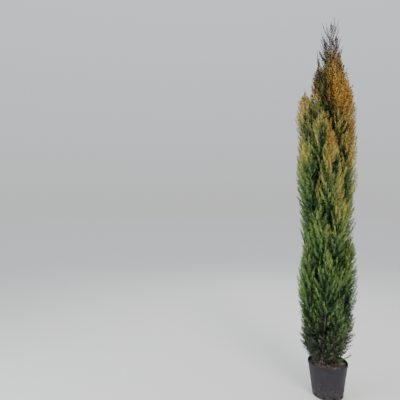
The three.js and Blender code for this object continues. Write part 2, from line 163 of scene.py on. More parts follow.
TIERS = (
    Tier(
        "skirt", tips=(0.69, 0.64, 0.72, 0.66, 0.71), turn=248, skips=1, forks=(0.05, 0.104), reach=0.136,
        splay=0.03, lopsided=0.2, girth=0.088, rise=2.1, starts=0.22, sprays=12,
    ),
    Tier(
        "low", tips=(1.2, 1.13, 1.24, 1.16, 1.25, 1.09), turn=218, forks=(0.165, 0.3), reach=0.174,
        splay=0.026, lopsided=0.08, girth=0.104, rise=1.5, starts=0.2, sprays=15,
    ),
    Tier(
        "waist", tips=(1.74, 1.66, 1.78, 1.69, 1.76, 1.64), turn=248, forks=(0.58, 0.74), reach=0.142,
        splay=0.044, lopsided=0.1, girth=0.09, rise=1.25, starts=0.18, sprays=13,
    ),
    Tier(
        "breast", tips=(2.23, 2.29, 2.18, 2.3, 2.24, 2.11), turn=218, forks=(1.02, 1.18), reach=0.182,
        splay=0.034, lopsided=-0.1, girth=0.104, rise=1.2, starts=0.2, sprays=15,
    ),
    Tier(
        "shoulder", tips=(2.29, 2.545, 2.6, 2.54, 2.56, 2.61), turn=256, forks=(1.56, 1.72), reach=0.158,
        splay=0.04, lopsided=-0.2, girth=0.094, rise=1.15, starts=0.16, sprays=15,
    ),
    Tier(
        "upper", tips=(2.865, 2.8, 2.92, 2.77, 2.69), turn=186, forks=(2.08, 2.24), reach=0.07,
        splay=0.038, lopsided=-0.1, girth=0.064, rise=1.1, starts=0.14, sprays=12,
    ),
    Tier(
        "crest", tips=(2.985, 3.035, 3.01), turn=205, forks=(2.62, 2.74), reach=0.026,
        splay=0.044, girth=0.038, rise=1, starts=0.1, sprays=8,
    ),
    Tier(
        "leader", tips=(3.1,), turn=0, forks=(TRUNK_HEIGHT, TRUNK_HEIGHT), reach=0,
        splay=0.004, girth=0.03, rise=1, starts=0, sprays=5, end_shoot=0.0,
    ),
)

# The leaf colours, from the greenest to the most golden, and two that are dealt out apart. Each is painted in
# four tones of light and shade: 0 is its full colour and 1 is the deep green of the painted shade. The
# lightest tone lies past the full colour, as painted light, and the plain one half way to the painted shade.
HUES = ("green", "lime", "straw", "gold", "amber", "bronze", "dull")
GOLDEN_HUES = 5
TONES = {"bright": -0.32, "light": 0.06, "plain": 0.46, "shade": 0.86}
# The painted lightness under which each tone of light and shade gives way to the next, darker one.
PAINTED_LIGHT_EDGES = (1.08, 0.64, 0.34)
# Colours that fewer sprays than this would have are dealt out in the plain tone, half in painted shade, and
# hues past these percentiles as the next ones.
FEWEST_SPRAYS = 24
HUE_PERCENTILES = (4, 96)

# These tables pair heights over the soil with a value.
# How golden the crown is.
GOLD_AT_HEIGHT = (
    (0, 0.03), (0.6, 0.08), (1.1, 0.13), (1.4, 0.21), (1.8, 0.4), (2.2, 0.54), (2.35, 0.66), (2.5, 0.88),
    (3.1, 1.0),
)
# How many of the sprays are bronze, and, by their place between the trunk and the outline, by how much fewer.
BRONZE_AT_HEIGHT = ((2.45, 0), (2.7, 0.35), (2.86, 1))
BRONZE_OUTWARDS = ((0.3, 0.3), (0.75, 1))
# How many of the sprays are dull.
DULL_AT_HEIGHT = ((0.2, 0.6), (0.45, 0.15), (0.6, 0))
# How far out of the crown's outline the sprays reach: the top is slimmer.
ROOM_AT_HEIGHT = (
    (2.35, 1.2), (2.44, 0.92), (2.51, 0.72), (2.57, 0.62), (2.64, 0.7), (2.72, 0.82), (2.9, 0.95),
)
# By how much the shaded side is less golden than the rest, and by how much darker it is painted, as shade.
SIDE_GOLD_AT_HEIGHT = ((0.6, 0), (1.3, 0.07), (2.1, 0.13), (2.5, 0.24))
SIDE_LIGHT_AT_HEIGHT = ((2.15, 0), (2.35, 0.2), (2.5, 0.48))
# How much lighter the tufts are painted, as light that they catch.
TUFT_LIGHT_AT_HEIGHT = ((1.3, 0.68), (1.6, 0.55))
# Painted shade: the foot of the crown is darker, as it stands in the shade of what is above it, and the top
# is painted darker too.
SHADE_AT_HEIGHT = ((0, -0.15), (0.3, -0.12), (0.55, -0.05), (0.9, 0), (2.2, 0), (2.5, -0.16))
# How much darker the inner growth is painted, as shade, and how much of it is withered.
INNER_SHADE = ((1.9, 0.4), (2.3, 0.1))
WITHERED_AT_HEIGHT = ((0.3, 0), (0.6, 0.35), (2.0, 0.15), (2.3, 0))
# How much more golden a spray's place, its light, its branch and chance make it, and how much lighter they
# make it: the lightness from its place up the plume and the branch and from the hollows is painted light and
# shade.
GOLD_BY = {
    "up_plume": 0.32, "up_branch": 0.14, "tuft": 0.05, "hollow_shade": -0.25, "light": 0.24, "branch": 0.3,
    "patch": 0.1, "chance": 0.04,
}
LIGHT_BY = {"up_plume": 0.34, "up_branch": 0.36, "hollow_shade": -0.65, "patch": 0.36, "chance": 0.05}
MIDDLE_LIGHT = 0.4
# The azimuth of the crown's greener side, which is painted darker as shade, and where and how sharply it
# ends, by the cosine.
SHADED_SIDE = math.radians(205)
SHADED_SIDE_EDGE = 0.6
SHADED_SIDE_SHARPNESS = 4

# The hollows between the plumes, whose sprays are painted in shade: height over the soil, azimuth in degrees,
# half height and half width.
HOLLOWS = (
    (2.43, 249, 0.14, 0.045), (2.27, 265, 0.1, 0.036), (1.78, 288, 0.13, 0.03),
    (2.62, 222, 0.2, 0.05), (1.98, 257, 0.22, 0.026), (1.7, 242, 0.09, 0.05),
    (1.43, 240, 0.07, 0.06), (1.36, 280, 0.06, 0.04), (1.15, 326, 0.08, 0.03),
    (0.95, 262, 0.06, 0.04), (0.77, 267, 0.09, 0.04), (0.61, 284, 0.07, 0.05),
    (0.36, 300, 0.05, 0.06), (2.06, 225, 0.09, 0.05), (2.1, 20, 0.14, 0.035),
    (1.75, 62, 0.1, 0.05), (1.5, 150, 0.09, 0.05), (1.15, 100, 0.08, 0.045),
    (1.95, 185, 0.14, 0.035), (2.2, 120, 0.12, 0.035), (1.3, 200, 0.08, 0.04),
    (1.25, 20, 0.09, 0.045), (0.75, 85, 0.08, 0.04), (0.8, 170, 0.08, 0.04),
    (0.45, 110, 0.06, 0.05), (0.6, 345, 0.06, 0.04),
)
# The tufts that catch the most light and are painted lighter, in the same way.
TUFTS = (
    (2.14, 275, 0.09, 0.03), (1.94, 283, 0.16, 0.07), (2.5, 300, 0.28, 0.08),
    (2.3, 204, 0.17, 0.09), (1.86, 221, 0.12, 0.1), (1.2, 225, 0.14, 0.08),
    (1.17, 258, 0.12, 0.08), (1.36, 332, 0.13, 0.07), (0.79, 307, 0.11, 0.1),
    (0.78, 226, 0.09, 0.08), (1.65, 300, 0.12, 0.06), (2.3, 60, 0.15, 0.08),
    (1.9, 110, 0.14, 0.07), (1.6, 20, 0.13, 0.08), (1.3, 130, 0.12, 0.07),
    (0.95, 80, 0.1, 0.09), (0.7, 140, 0.09, 0.08), (1.0, 0, 0.1, 0.08),
    (0.6, 40, 0.09, 0.08), (0.9, 200, 0.1, 0.07),
)
# Places that more shoots fill in the same way, which catch no more light.
THICKETS = (
    (1.42, 340, 0.2, 0.09), (1.4, 195, 0.18, 0.07), (1.0, 345, 0.14, 0.08),
    (2.7, 208, 0.16, 0.05), (2.76, 280, 0.1, 0.06), (2.74, 90, 0.12, 0.06),
    (0.8, 306, 0.12, 0.1), (1.19, 262, 0.1, 0.08),
)
# How much of the crown's radius a hollow takes away, and how far past its edge the sprays are painted darker,
# as shade.
HOLLOW_DEPTH = 0.9
HOLLOW_MARGIN = 0.3


def seeded(seed):
    """The repeatable stream of numbers from 0 to 1 that the solids use."""
    state = seed * 2654435761 & 0xFFFFFFFF

    def draw():
        nonlocal state
        state = (state * 1664525 + 1013904223) & 0xFFFFFFFF
        return state / 4294967296

    return draw


def unit(vectors):
    return vectors / np.linalg.norm(vectors, axis=-1, keepdims=True)


def lerp(low, high, share):
    return low + (high - low) * share


def at_height(height, table):
    """The values of a table of pairs at some heights, or at what else its pairs begin with."""
    return np.interp(height, *zip(*table))


def turned(first, second, angles):
    """Directions at angles from one direction towards another that is square to it."""
    return np.cos(angles)[..., None] * first + np.sin(angles)[..., None] * second


def round_z(angles, radius=1.0, height=0.0):
    """Points at angles round Z, at a distance from it and at a height."""
    across, ahead = radius * np.cos(angles), radius * np.sin(angles)
    return np.stack([across, ahead, np.full(across.shape, height)], -1)


def ring(sides, radius, height=0.0):
    return round_z(2 * np.pi * np.arange(sides) / sides, radius, height)


def offsets(rng, count, by):
    """Numbers at random round 0 that are `by` apart at most."""
    return by * (rng.random(count) - 0.5)


def factors(rng, count, by):
    """Numbers at random round 1 that are `by` apart at most."""
    return 1 - by / 2 + by * rng.random(count)


def trunk_point(height):
    height = np.asarray(height, float)
    share = height / TRUNK_HEIGHT
    sway = TRUNK_SWAY * np.sin(3 * np.pi * share)
    across = TRUNK_FOOT_X + TRUNK_LEAN * share + sway
    return np.stack([across, TRUNK_SWAY_BACK * sway * np.cos(np.pi * share), SOIL_TOP + height], -1)


def from_trunk(points):
    """How high points lie over the soil, and where they lie from the trunk's middle at that height."""
    height = points[..., 2] - SOIL_TOP
    return height, points - trunk_point(np.clip(height, 0, TRUNK_HEIGHT))


def trunk_radius(height):
    share = np.minimum(1, np.asarray(height, float) / TRUNK_HEIGHT)
    flare = TRUNK_FLARE * np.exp(-np.asarray(height, float) / TRUNK_FLARE_HEIGHT)
    return TRUNK_TIP_RADIUS + (TRUNK_FOOT_RADIUS - TRUNK_TIP_RADIUS) * (1 - share) ** TRUNK_TAPER + flare


class Limb:
    """A limb, which leaves the trunk, bends upwards and ends at the tip of the plume that it bears."""

    def __init__(self, tier, number):
        order = TIERS.index(tier)
        self.tier = tier
        self.seed = 97 * (order + 1) + 13 * (number + 1)
        draw = seeded(self.seed)
        step = 360 / (len(tier.tips) + tier.skips)
        azimuth = tier.turn - (number + tier.skips) * step + LIMB_TURN_VARIES * (draw() - 0.5)
        azimuth = math.radians(azimuth)
        self.outwards = np.array([math.cos(azimuth), math.sin(azimuth), 0])
        self.sideways = np.array([-math.sin(azimuth), math.cos(azimuth), 0])
        self.fork = lerp(*tier.forks, 0.5 * (number % 2) + 0.5 * number / len(tier.tips))
        self.tip = tier.tips[number]
        evenness = 1 + tier.lopsided * math.cos(azimuth)
        self.reach = evenness * tier.reach * (1 + LIMB_REACH_VARIES * (draw() - 0.5))
        self.splay = evenness * tier.splay
        self.girth = tier.girth * (1 + LIMB_GIRTH_VARIES * (draw() - 0.5))
        self.bow = LIMB_BOW * (draw() - 0.5)
        self.node = f"{tier.name}_{number + 1}"

    def point(self, share):
        share = np.asarray(share, float)
        height = self.fork + (self.tip - self.fork) * share**self.tier.rise
        out = self.reach * (1 - (1 - share) ** 3) + self.splay * share**2
        aside = self.bow * np.sin(np.pi * share)
        return trunk_point(height) + out[..., None] * self.outwards + aside[..., None] * self.sideways

    def direction(self, share):
        step = 0.01
        return unit(self.point(np.minimum(1, share + step)) - self.point(np.maximum(0, share - step)))

    def radius(self, share):
        share = np.asarray(share, float)
        starts = self.tier.starts
        most = BOUGH_TRUNK_SHARE * float(trunk_radius(self.fork))
        foot = min(BOUGH_RADIUS * math.sqrt(self.girth / BOUGH_GIRTH), most)
        knee = foot * BOUGH_TIP_SHARE
        past = np.clip((share - starts) / (1 - starts), 0, 1)
        bare = lerp(foot, knee, np.minimum(share / starts, 1)) if starts else np.full_like(share, knee)
        return np.where(share < starts, bare, knee + (STEM_TIP_RADIUS - knee) * past**STEM_TAPER)

    def within(self, share):
        """The place on the limb at a share of the plume's own length."""
        return self.tier.starts + (1 - self.tier.starts) * share

    def plume_radius(self, share):
        return self.girth * np.maximum(0, np.sin(np.pi * share**PLUME_DROOP)) ** PLUME_BLUNTNESS


class Crown:
    """All the limbs, and how near any point lies to each plume's middle line."""

    steps = 28
    # The outline: at how many heights, from what lies how near to each, how wide at least, and with how much
    # of a plume's radius.
    outline_steps = 32
    outline_window = 0.08
    outline_least = 0.02
    outline_share = 0.9

    def __init__(self):
        self.limbs = [Limb(tier, number) for tier in TIERS for number in range(len(tier.tips))]
        share = np.linspace(0, 1, self.steps + 1)
        self.lines = np.stack([limb.point(limb.within(share)) for limb in self.limbs])
        self.radii = np.maximum(PLUME_LEAST_RADIUS, [limb.plume_radius(share) for limb in self.limbs])
        self.outline = self.outer_radii()

    def outer_radii(self):
        """How far the crown reaches from the trunk's middle at even steps of height."""
        height, off = from_trunk(self.lines)
        reach = np.linalg.norm(off[..., :2], axis=-1) + self.outline_share * self.radii
        steps = np.linspace(0, TRUNK_HEIGHT, self.outline_steps)
        near = np.abs(height[None] - steps[:, None, None]) < self.outline_window
        return steps, np.where(near, reach[None], self.outline_least).max((1, 2))

    def outerness(self, points):
        """How far out points lie: 0 at the trunk's middle, and 1 at the crown's outline at their height."""
        height, off = from_trunk(points)
        return np.linalg.norm(off[:, :2], axis=-1) / np.interp(height, *self.outline)

    def has_room(self, points):
        """Which points keep inside the outline and out of the hollows."""
        room = at_height(points[:, 2] - SOIL_TOP, ROOM_AT_HEIGHT)
        return self.outerness(points) < room - HOLLOW_DEPTH * np.maximum(0, self.depth_in(HOLLOWS, points))

    def depth_in(self, spots, points):
        """How deep points lie in any of some spots: 0 at the edge, 1 in the middle, less than 0 outside."""
        height, off = from_trunk(points)
        azimuth = np.arctan2(off[:, 1], off[:, 0])
        radius = np.interp(height, *self.outline)
        deep = np.full(len(points), -1.0)
        for middle, turn, half_height, half_width in spots:
            apart = (azimuth - math.radians(turn) + np.pi) % (2 * np.pi) - np.pi
            from_middle = np.hypot((height - middle) / half_height, apart * radius / half_width)
            deep = np.maximum(deep, 1 - from_middle)
        return deep

    def nearness(self, points):
        """For each point and limb, the distance to the plume's middle line as a share of its radius there."""
        apart = np.linalg.norm(points[:, None, None, :] - self.lines[None], axis=-1)
        return (apart / self.radii[None]).min(-1)

    def own_space(self, points, limb, own_edge, shared_edge):
        """Which points keep to a limb's own space and stay clear of the trunk and the soil."""
        near = self.nearness(points)
        at = self.limbs.index(limb)
        own = near[:, at].copy()
        near[:, at] = np.inf
        height, off = from_trunk(points)
        clear = np.linalg.norm(off, axis=-1) > trunk_radius(np.maximum(0, height)) + WOOD_CLEARANCE
        grounded = height > SOIL_CROWN + WOOD_CLEARANCE
        return clear & grounded & (own < own_edge) & (own < shared_edge * near.min(1))


CROWN = Crown()


class Socket:
    """An output of a shader node. Python's arithmetic on it adds Math nodes."""

    def __init__(self, wiring, output):
        self.wiring = wiring
        self.output = output

    def __add__(self, other):
        return self.wiring.maths("ADD", self, other)

    __radd__ = __add__

    def __sub__(self, other):
        return self.wiring.maths("SUBTRACT", self, other)

    def __rsub__(self, other):
        return self.wiring.maths("SUBTRACT", other, self)

    def __mul__(self, other):
        return self.wiring.maths("MULTIPLY", self, other)

    __rmul__ = __mul__

    def clipped(self):
        return self.wiring.maths("MULTIPLY", self, 1, clamp=True)


class Wiring:
    """A node tree with one way to add any node to it."""

    def __init__(self, tree):
        self.tree = tree

    def node(self, kind, settings=None, inputs=None):
        """Adds a node of a type, sets its settings, and then fills or links its sockets."""
        made = self.tree.nodes.new(kind)
        for name, value in (settings or {}).items():
            setattr(made, name, value)
        for name, value in (inputs or {}).items():
            self.feed(made.inputs[name], value)
        return made

    def feed(self, socket, value):
        source = value.output if isinstance(value, Socket) else value
        if isinstance(source, bpy.types.NodeSocket):
            self.tree.links.new(source, socket)
        else:
            socket.default_value = source

    def maths(self, operation, first, second, clamp=False):
        settings = {"operation": operation, "use_clamp": clamp}
        return Socket(self, self.node("ShaderNodeMath", settings, {0: first, 1: second}).outputs[0])


class Paint(Wiring):
    """A material on Object coordinates, with the few patterns that the cypress and its container need."""

    def __init__(self, name, roughness=0.7, specular=0.5):
        self.material = bpy.data.materials.new(name)
        self.material.use_nodes = True
        super().__init__(self.material.node_tree)
        self.tree.nodes.clear()
        self.shader = self.node("ShaderNodeBsdfPrincipled")
        self.shader.inputs["Roughness"].default_value = roughness
        self.shader.inputs["Specular IOR Level"].default_value = specular
        self.node("ShaderNodeOutputMaterial", None, {"Surface": self.shader.outputs[0]})
        self.place = self.node("ShaderNodeTexCoord").outputs["Object"]

    def stretched(self, along, turn=(0, 0, 0)):
        settings = {"vector_type": "POINT"}
        inputs = {"Vector": self.place, "Scale": along, "Rotation": turn}
        return self.node("ShaderNodeMapping", settings, inputs).outputs[0]

    def grain(self, scale, detail=3, where=None, roughness=0.5):
        inputs = {"Vector": where or self.place, "Scale": scale, "Detail": detail, "Roughness": roughness}
        return Socket(self, self.node("ShaderNodeTexNoise", None, inputs).outputs["Fac"])

    def cells(self, scale):
        made = self.node("ShaderNodeTexVoronoi", {"feature": "F1"}, {"Vector": self.place, "Scale": scale})
        return Socket(self, made.outputs["Distance"])

    def between(self, value, low, high):
        """A mask that is 0 up to `low` and 1 from `high`."""
        inputs = {0: value, 1: low, 2: high}
        made = self.node("ShaderNodeMapRange", {"interpolation_type": "SMOOTHSTEP"}, inputs)
        return Socket(self, made.outputs[0])

    def height(self):
        return Socket(self, self.node("ShaderNodeSeparateXYZ", None, {0: self.place}).outputs["Z"])

    def mixed(self, mask, first, second):
        """The first colour where the mask is 0 and the second where it is 1."""
        first, second = (tuple(c) + (1,) if isinstance(c, (tuple, list)) else c for c in (first, second))
        made = self.node("ShaderNodeMix", {"data_type": "RGBA"}, {0: mask, 6: first, 7: second})
        return made.outputs[2]

    def finish(self, colour, roughness=None, height=None, depth=0.001):
        self.feed(self.shader.inputs["Base Color"], colour)
        if roughness is not None:
            self.feed(self.shader.inputs["Roughness"], roughness)
        if height is not None:
            bump = self.node("ShaderNodeBump", None, {"Height": height, "Strength": 1, "Distance": depth})
            self.feed(self.shader.inputs["Normal"], bump.outputs[0])
        return self.material


def tinted(colour, amount):
    return tuple(channel * amount for channel in colour)


def leaf_paint(name, colour):
    """Small scaly leaves: a plain colour with a fine mottle, so that nothing in it has a place."""
    paint = Paint(f"leaf_{name}", specular=0.3)
    mottle = paint.grain(90, detail=2)
    scales = paint.cells(620)
    tone = paint.mixed(paint.between(mottle, 0.35, 0.65), tinted(colour, 0.86), tinted(colour, 1.14))
    return paint.finish(tone, 0.52 + 0.2 * mottle, scales, 0.0004)


def bark_paint(name, furrow, ridge, weathered):
    """Stringy bark: ridges and furrows that run up the stem, with grey weathering and rust in the furrows."""
    paint = Paint(name, specular=0.2)
    strings = paint.grain(150, 4, paint.stretched((1, 1, 0.09)), 0.6)
    flakes = paint.grain(60, 3, paint.stretched((1, 1, 0.3)))
    wear = paint.between(paint.grain(14, 3), 0.45, 0.65)
    tone = paint.mixed(paint.between(strings, 0.36, 0.6), furrow, ridge)
    tone = paint.mixed((wear * paint.between(strings, 0.42, 0.62)).clipped(), tone, weathered)
    return paint.finish(tone, 0.78 + 0.18 * flakes, strings + 0.4 * flakes, 0.002)


def plastic_paint(colour, dust, mud):
    """Dull moulded plastic under dust, with dried splashes that thin out upwards."""
    paint = Paint("container_plastic", specular=0.4)
    clouds = paint.grain(9, 5, roughness=0.62)
    runs = paint.grain(26, 4, paint.stretched((1, 1, 0.12)))
    speckle = paint.grain(220, 2)
    dusty = (0.45 * paint.between(clouds, 0.32, 0.62) + 0.55 * paint.between(runs, 0.4, 0.66)).clipped()
    splash = paint.between(paint.grain(48, 5, roughness=0.7) - 1.1 * paint.height(), 0.4, 0.5)
    tone = paint.mixed(dusty, colour, dust)
    tone = paint.mixed(splash, tone, mud)
    tone = paint.mixed(paint.between(speckle, 0.62, 0.72) * 0.4, tone, dust)
    return paint.finish(tone, 0.42 + 0.4 * dusty, 0.5 * splash + 0.2 * speckle + 0.25 * runs, 0.0006)


def soil_paint(name, damp, dry):
    """Potting soil: fibrous and dark, with pale crumbs where it has dried."""
    paint = Paint(name, specular=0.15)
    clods = paint.grain(34, 5, roughness=0.65)
    fibres = paint.grain(190, 3, paint.stretched((1, 0.35, 1), (0, 0, 0.7)))
    tone = paint.mixed(paint.between(clods + 0.35 * fibres, 0.55, 0.86), damp, dry)
    return paint.finish(tone, 0.8 + 0.15 * fibres, clods + 0.5 * fibres, 0.004)


def floor_paint(colour):
    """A pale, faintly mottled studio floor."""
    paint = Paint("studio_floor", roughness=0.85, specular=0.2)
    mottle = paint.grain(1.3, 3)
    return paint.finish(paint.mixed(mottle, tinted(colour, 0.985), tinted(colour, 1.015)))


class GeometryTree(Wiring):
    """A Geometry Nodes tree with named inputs, for use on one mesh after another."""

    def __init__(self, name, inputs):
        super().__init__(bpy.data.node_groups.new(name, "GeometryNodeTree"))
        self.tree.is_modifier = True
        self.identifiers = {}
        self.tree.interface.new_socket("Geometry", in_out="INPUT", socket_type="NodeSocketGeometry")
        for socket, kind in inputs.items():
            made = self.tree.interface.new_socket(socket, in_out="INPUT", socket_type=f"NodeSocket{kind}")
            self.identifiers[socket] = made.identifier
        self.tree.interface.new_socket("Geometry", in_out="OUTPUT", socket_type="NodeSocketGeometry")
        self.given = self.node("NodeGroupInput").outputs

    def ended(self, geometry):
        """Realizes the instances, sets the material and ends the tree."""
        real = self.node("GeometryNodeRealizeInstances", None, {0: geometry}).outputs[0]
        dressed = self.node("GeometryNodeSetMaterial", None, {0: real, "Material": self.given["Material"]})
        self.node("NodeGroupOutput", None, {0: dressed.outputs[0]})
        return self

    def attribute(self, name, kind="FLOAT"):
        return self.node("GeometryNodeInputNamedAttribute", {"data_type": kind}, {"Name": name}).outputs[0]

    def applied(self, name, mesh, material, **values):
        """A new object whose plain mesh is this tree's result on a mesh."""
        thing = bpy.data.objects.new(name, mesh)
        bpy.context.scene.collection.objects.link(thing)
        modifier = thing.modifiers.new(self.tree.name, "NODES")
        modifier.node_group = self.tree
        modifier[self.identifiers["Material"]] = material
        for socket, value in values.items():
            modifier[self.identifiers[socket]] = value
        graph = bpy.context.evaluated_depsgraph_get()
        result = bpy.data.meshes.new_from_object(thing.evaluated_get(graph), depsgraph=graph)
        thing.modifiers.clear()
        thing.data = result
        result.name = name
        result.materials.clear()
        result.materials.append(material)
        for key in ("girth", "heading", "size", "kind"):
            if key in result.attributes:
                result.attributes.remove(result.attributes[key])
        bpy.data.meshes.remove(mesh)
        return thing


# The bark's ridges are stretched along the stem.
BARK_STRETCH = (1, 1, 0.16)


def wood_tree():
    """Wood round a path: each point's `girth` is its radius, and the relief is a share of that."""
    sockets = {"Sides": "Int", "Relief": "Float", "Grain": "Float", "Material": "Material"}
    tree = GeometryTree("wood_along_paths", sockets)
    given = tree.given
    girth = tree.attribute("girth")
    curve = tree.node("GeometryNodeMeshToCurve", None, {0: given["Geometry"]}).outputs[0]
    section = tree.node("GeometryNodeCurvePrimitiveCircle", None, {"Resolution": given["Sides"], "Radius": 1})
    inputs = {"Curve": curve, "Profile Curve": section.outputs[0], "Scale": girth, "Fill Caps": True}
    tube = tree.node("GeometryNodeCurveToMesh", None, inputs).outputs[0]
    inputs = {0: tree.node("GeometryNodeInputPosition").outputs[0], 1: BARK_STRETCH}
    stretched = tree.node("ShaderNodeVectorMath", {"operation": "MULTIPLY"}, inputs).outputs[0]
    inputs = {"Vector": stretched, "Scale": given["Grain"], "Detail": 3}
    ridges = Socket(tree, tree.node("ShaderNodeTexNoise", None, inputs).outputs[0])
    amount = (ridges - 0.5) * (Socket(tree, girth) * given["Relief"])
    inputs = {0: tree.node("GeometryNodeInputNormal").outputs[0], "Scale": amount}
    offset = tree.node("ShaderNodeVectorMath", {"operation": "SCALE"}, inputs).outputs[0]
    barked = tree.node("GeometryNodeSetPosition", None, {"Geometry": tube, "Offset": offset}).outputs[0]
    smooth = tree.node("GeometryNodeSetShadeSmooth", None, {0: barked, "Shade Smooth": True}).outputs[0]
    return tree.ended(smooth)


def scatter_tree():
    """Puts a collection's shapes on points: each by its `kind`, along its `heading` and at its `size`."""
    sockets = {"Shapes": "Collection", "Seed": "Int", "Material": "Material"}
    tree = GeometryTree("shapes_on_points", sockets)
    given = tree.given
    inputs = {"Collection": given["Shapes"], "Separate Children": True, "Reset Children": True}
    shapes = tree.node("GeometryNodeCollectionInfo", None, inputs).outputs[0]
    inputs = {"Vector": tree.attribute("heading", "FLOAT_VECTOR")}
    aimed = tree.node("FunctionNodeAlignRotationToVector", {"axis": "Z"}, inputs).outputs[0]
    inputs = {2: 0.0, 3: 2 * math.pi, "Seed": given["Seed"]}
    angle = tree.node("FunctionNodeRandomValue", {"data_type": "FLOAT"}, inputs).outputs[1]
    roll = tree.node("FunctionNodeAxisAngleToRotation", None, {"Axis": (0, 0, 1), "Angle": angle}).outputs[0]
    inputs = {"Rotation": aimed, "Rotate By": roll}
    rolled = tree.node("FunctionNodeRotateRotation", {"rotation_space": "LOCAL"}, inputs).outputs[0]
    inputs = {
        "Points": given["Geometry"],
        "Instance": shapes,
        "Pick Instance": True,
        "Instance Index": tree.attribute("kind", "INT"),
        "Rotation": rolled,
        "Scale": tree.attribute("size"),
    }
    return tree.ended(tree.node("GeometryNodeInstanceOnPoints", None, inputs).outputs[0])


def mesh_from(name, corners, faces=(), edges=(), **attributes):
    """A mesh from arrays, with a float, whole number or vector attribute on its points for each keyword."""
    mesh = bpy.data.meshes.new(name)
    mesh.from_pydata([tuple(c) for c in corners], [tuple(e) for e in edges], [tuple(f) for f in faces])
    for key, values in attributes.items():
        values = np.asarray(values)
        kind = "FLOAT_VECTOR" if values.ndim == 2 else "INT" if values.dtype.kind == "i" else "FLOAT"
        slot = "vector" if kind == "FLOAT_VECTOR" else "value"
        mesh.attributes.new(key, kind, "POINT").data.foreach_set(slot, values.ravel())
    return mesh


def path_mesh(name, paths, girths):
    """One mesh of open rows of points, each row joined by edges."""
    sizes = [len(path) for path in paths]
    firsts = np.concatenate([[0], np.cumsum(sizes)[:-1]])
    edges = [(first + i, first + i + 1) for first, size in zip(firsts, sizes) for i in range(size - 1)]
    return mesh_from(name, np.concatenate(paths), (), edges, girth=np.concatenate(girths))


def square_to(direction):
    """Two directions square to each of some directions."""
    helper = np.where(np.abs(direction[:, 2:3]) > 0.9, [[1.0, 0.0, 0.0]], [[0.0, 0.0, 1.0]])
    first = unit(np.cross(helper, direction))
    return first, np.cross(direction, first)


# Where a leaf is broadest, as a share of its length, and how deep it is folded, as a share of its width.
LEAF_WAIST = 0.38
LEAF_FOLD = 0.3
# The leaves of a spray: from where and over how much of it they are rooted, and, from the lowest to the
# highest, how long they are, how far they lean outwards, and how wide they are, by the top one's width.
LEAF_ROOTS = (0.04, 0.84)
LEAF_LENGTHS = (0.46, 0.24)
LEAF_LEANS = (0.7, 0.3)
LEAF_WIDTHS = (1.15, 0.8)
# How much their places, turns, leans and lengths vary.
LEAF_PLACE_VARIES = 0.5
LEAF_TURN_VARIES = 0.6
LEAF_LEAN_VARIES = 0.24
LEAF_LENGTH_VARIES = 0.4
TOP_LEAF_ROOT = 0.7
SPRAY_BOW = 0.05
SPRAY_SEED = 900


def blades(roots, tips, widths, rolls):
    """Pointed blades folded along the midrib, as corners and faces."""
    along = tips - roots
    first, second = square_to(unit(along))
    half = 0.5 * widths[:, None] * turned(first, second, rolls)
    waist = roots + LEAF_WAIST * along + LEAF_FOLD * widths[:, None] * turned(second, -first, rolls)
    corners = np.stack([roots, waist + half, tips, waist - half], 1).reshape(-1, 3)
    pattern = np.array([[0, 2, 1], [0, 3, 2]])
    faces = (4 * np.arange(len(roots))[:, None, None] + pattern[None]).reshape(-1, 3)
    return corners, faces


def spray_mesh(variant, leaves, width):
    """A spray of unit length along Z: a bowed stem with pointed leaves all round it and one at its tip."""
    rng = np.random.default_rng(SPRAY_SEED + variant)
    bow = offsets(rng, 2, SPRAY_BOW)

    def stem(share):
        return np.stack([bow[0] * np.sin(np.pi * share), bow[1] * np.sin(np.pi * share), share], -1)

    low, room = LEAF_ROOTS
    share = low + room * (np.arange(leaves) + LEAF_PLACE_VARIES * rng.random(leaves)) / leaves
    turn = GOLDEN_ANGLE * np.arange(leaves) + LEAF_TURN_VARIES * rng.random(leaves)
    lean = lerp(*LEAF_LEANS, share) * factors(rng, leaves, LEAF_LEAN_VARIES)
    length = lerp(*LEAF_LENGTHS, share) * factors(rng, leaves, LEAF_LENGTH_VARIES)
    tips = stem(share) + length[:, None] * turned(UP, round_z(turn), lean)
    roots = np.concatenate([stem(share), stem(np.array([TOP_LEAF_ROOT]))])
    tips = np.concatenate([tips, stem(np.array([1.0]))])
    widths = np.append(lerp(*LEAF_WIDTHS, share) * width, width)
    corners, faces = blades(roots, tips, widths, 2 * np.pi * rng.random(leaves + 1))
    return mesh_from(f"spray_{variant}", corners, faces)


def hidden_collection(name, meshes):
    """A collection of shapes that Geometry Nodes pick from, outside the scene."""
    collection = bpy.data.collections.new(name)
    for mesh in meshes:
        collection.objects.link(bpy.data.objects.new(mesh.name, mesh))
    return collection


def remove_collection(collection):
    for thing in list(collection.objects):
        mesh = thing.data
        bpy.data.objects.remove(thing)
        bpy.data.meshes.remove(mesh)
    bpy.data.collections.remove(collection)


BRANCH_STEPS = 6
# A branch takes the longest of these shares of its length that keeps to its plume's space.
BRANCH_CUTS = (0.64, 0.75, 0.87, 1.0)
# How far a branch leans out at its root, how much less at its tip, and how far it waves.
BEND_AT_ROOT = 1.4
BEND_LOST = 0.85
BRANCH_WAVE = 0.1
# Where on its plume the first branch is rooted, and over how much of the plume the others follow.
BRANCHES_FROM = 0.02
BRANCHES_RANGE = 0.94
# A branch aims past the plume's edge, a little over its root, and is at least a share of its girth long.
BRANCH_AIM = 1.02
BRANCH_AHEAD = 0.06
BRANCH_AIM_HIGHEST = 0.97
BRANCH_LEAST_GIRTHS = 1.7
# How much the places, turns, openings and lengths of branches vary, the lengths up from their least.
BRANCH_PLACE_VARIES = 0.6
BRANCH_TURN_VARIES = 0.3
BRANCH_OPENING_VARIES = 0.12
BRANCH_LENGTH_LEAST = 0.8
BRANCH_LENGTH_VARIES = 0.25
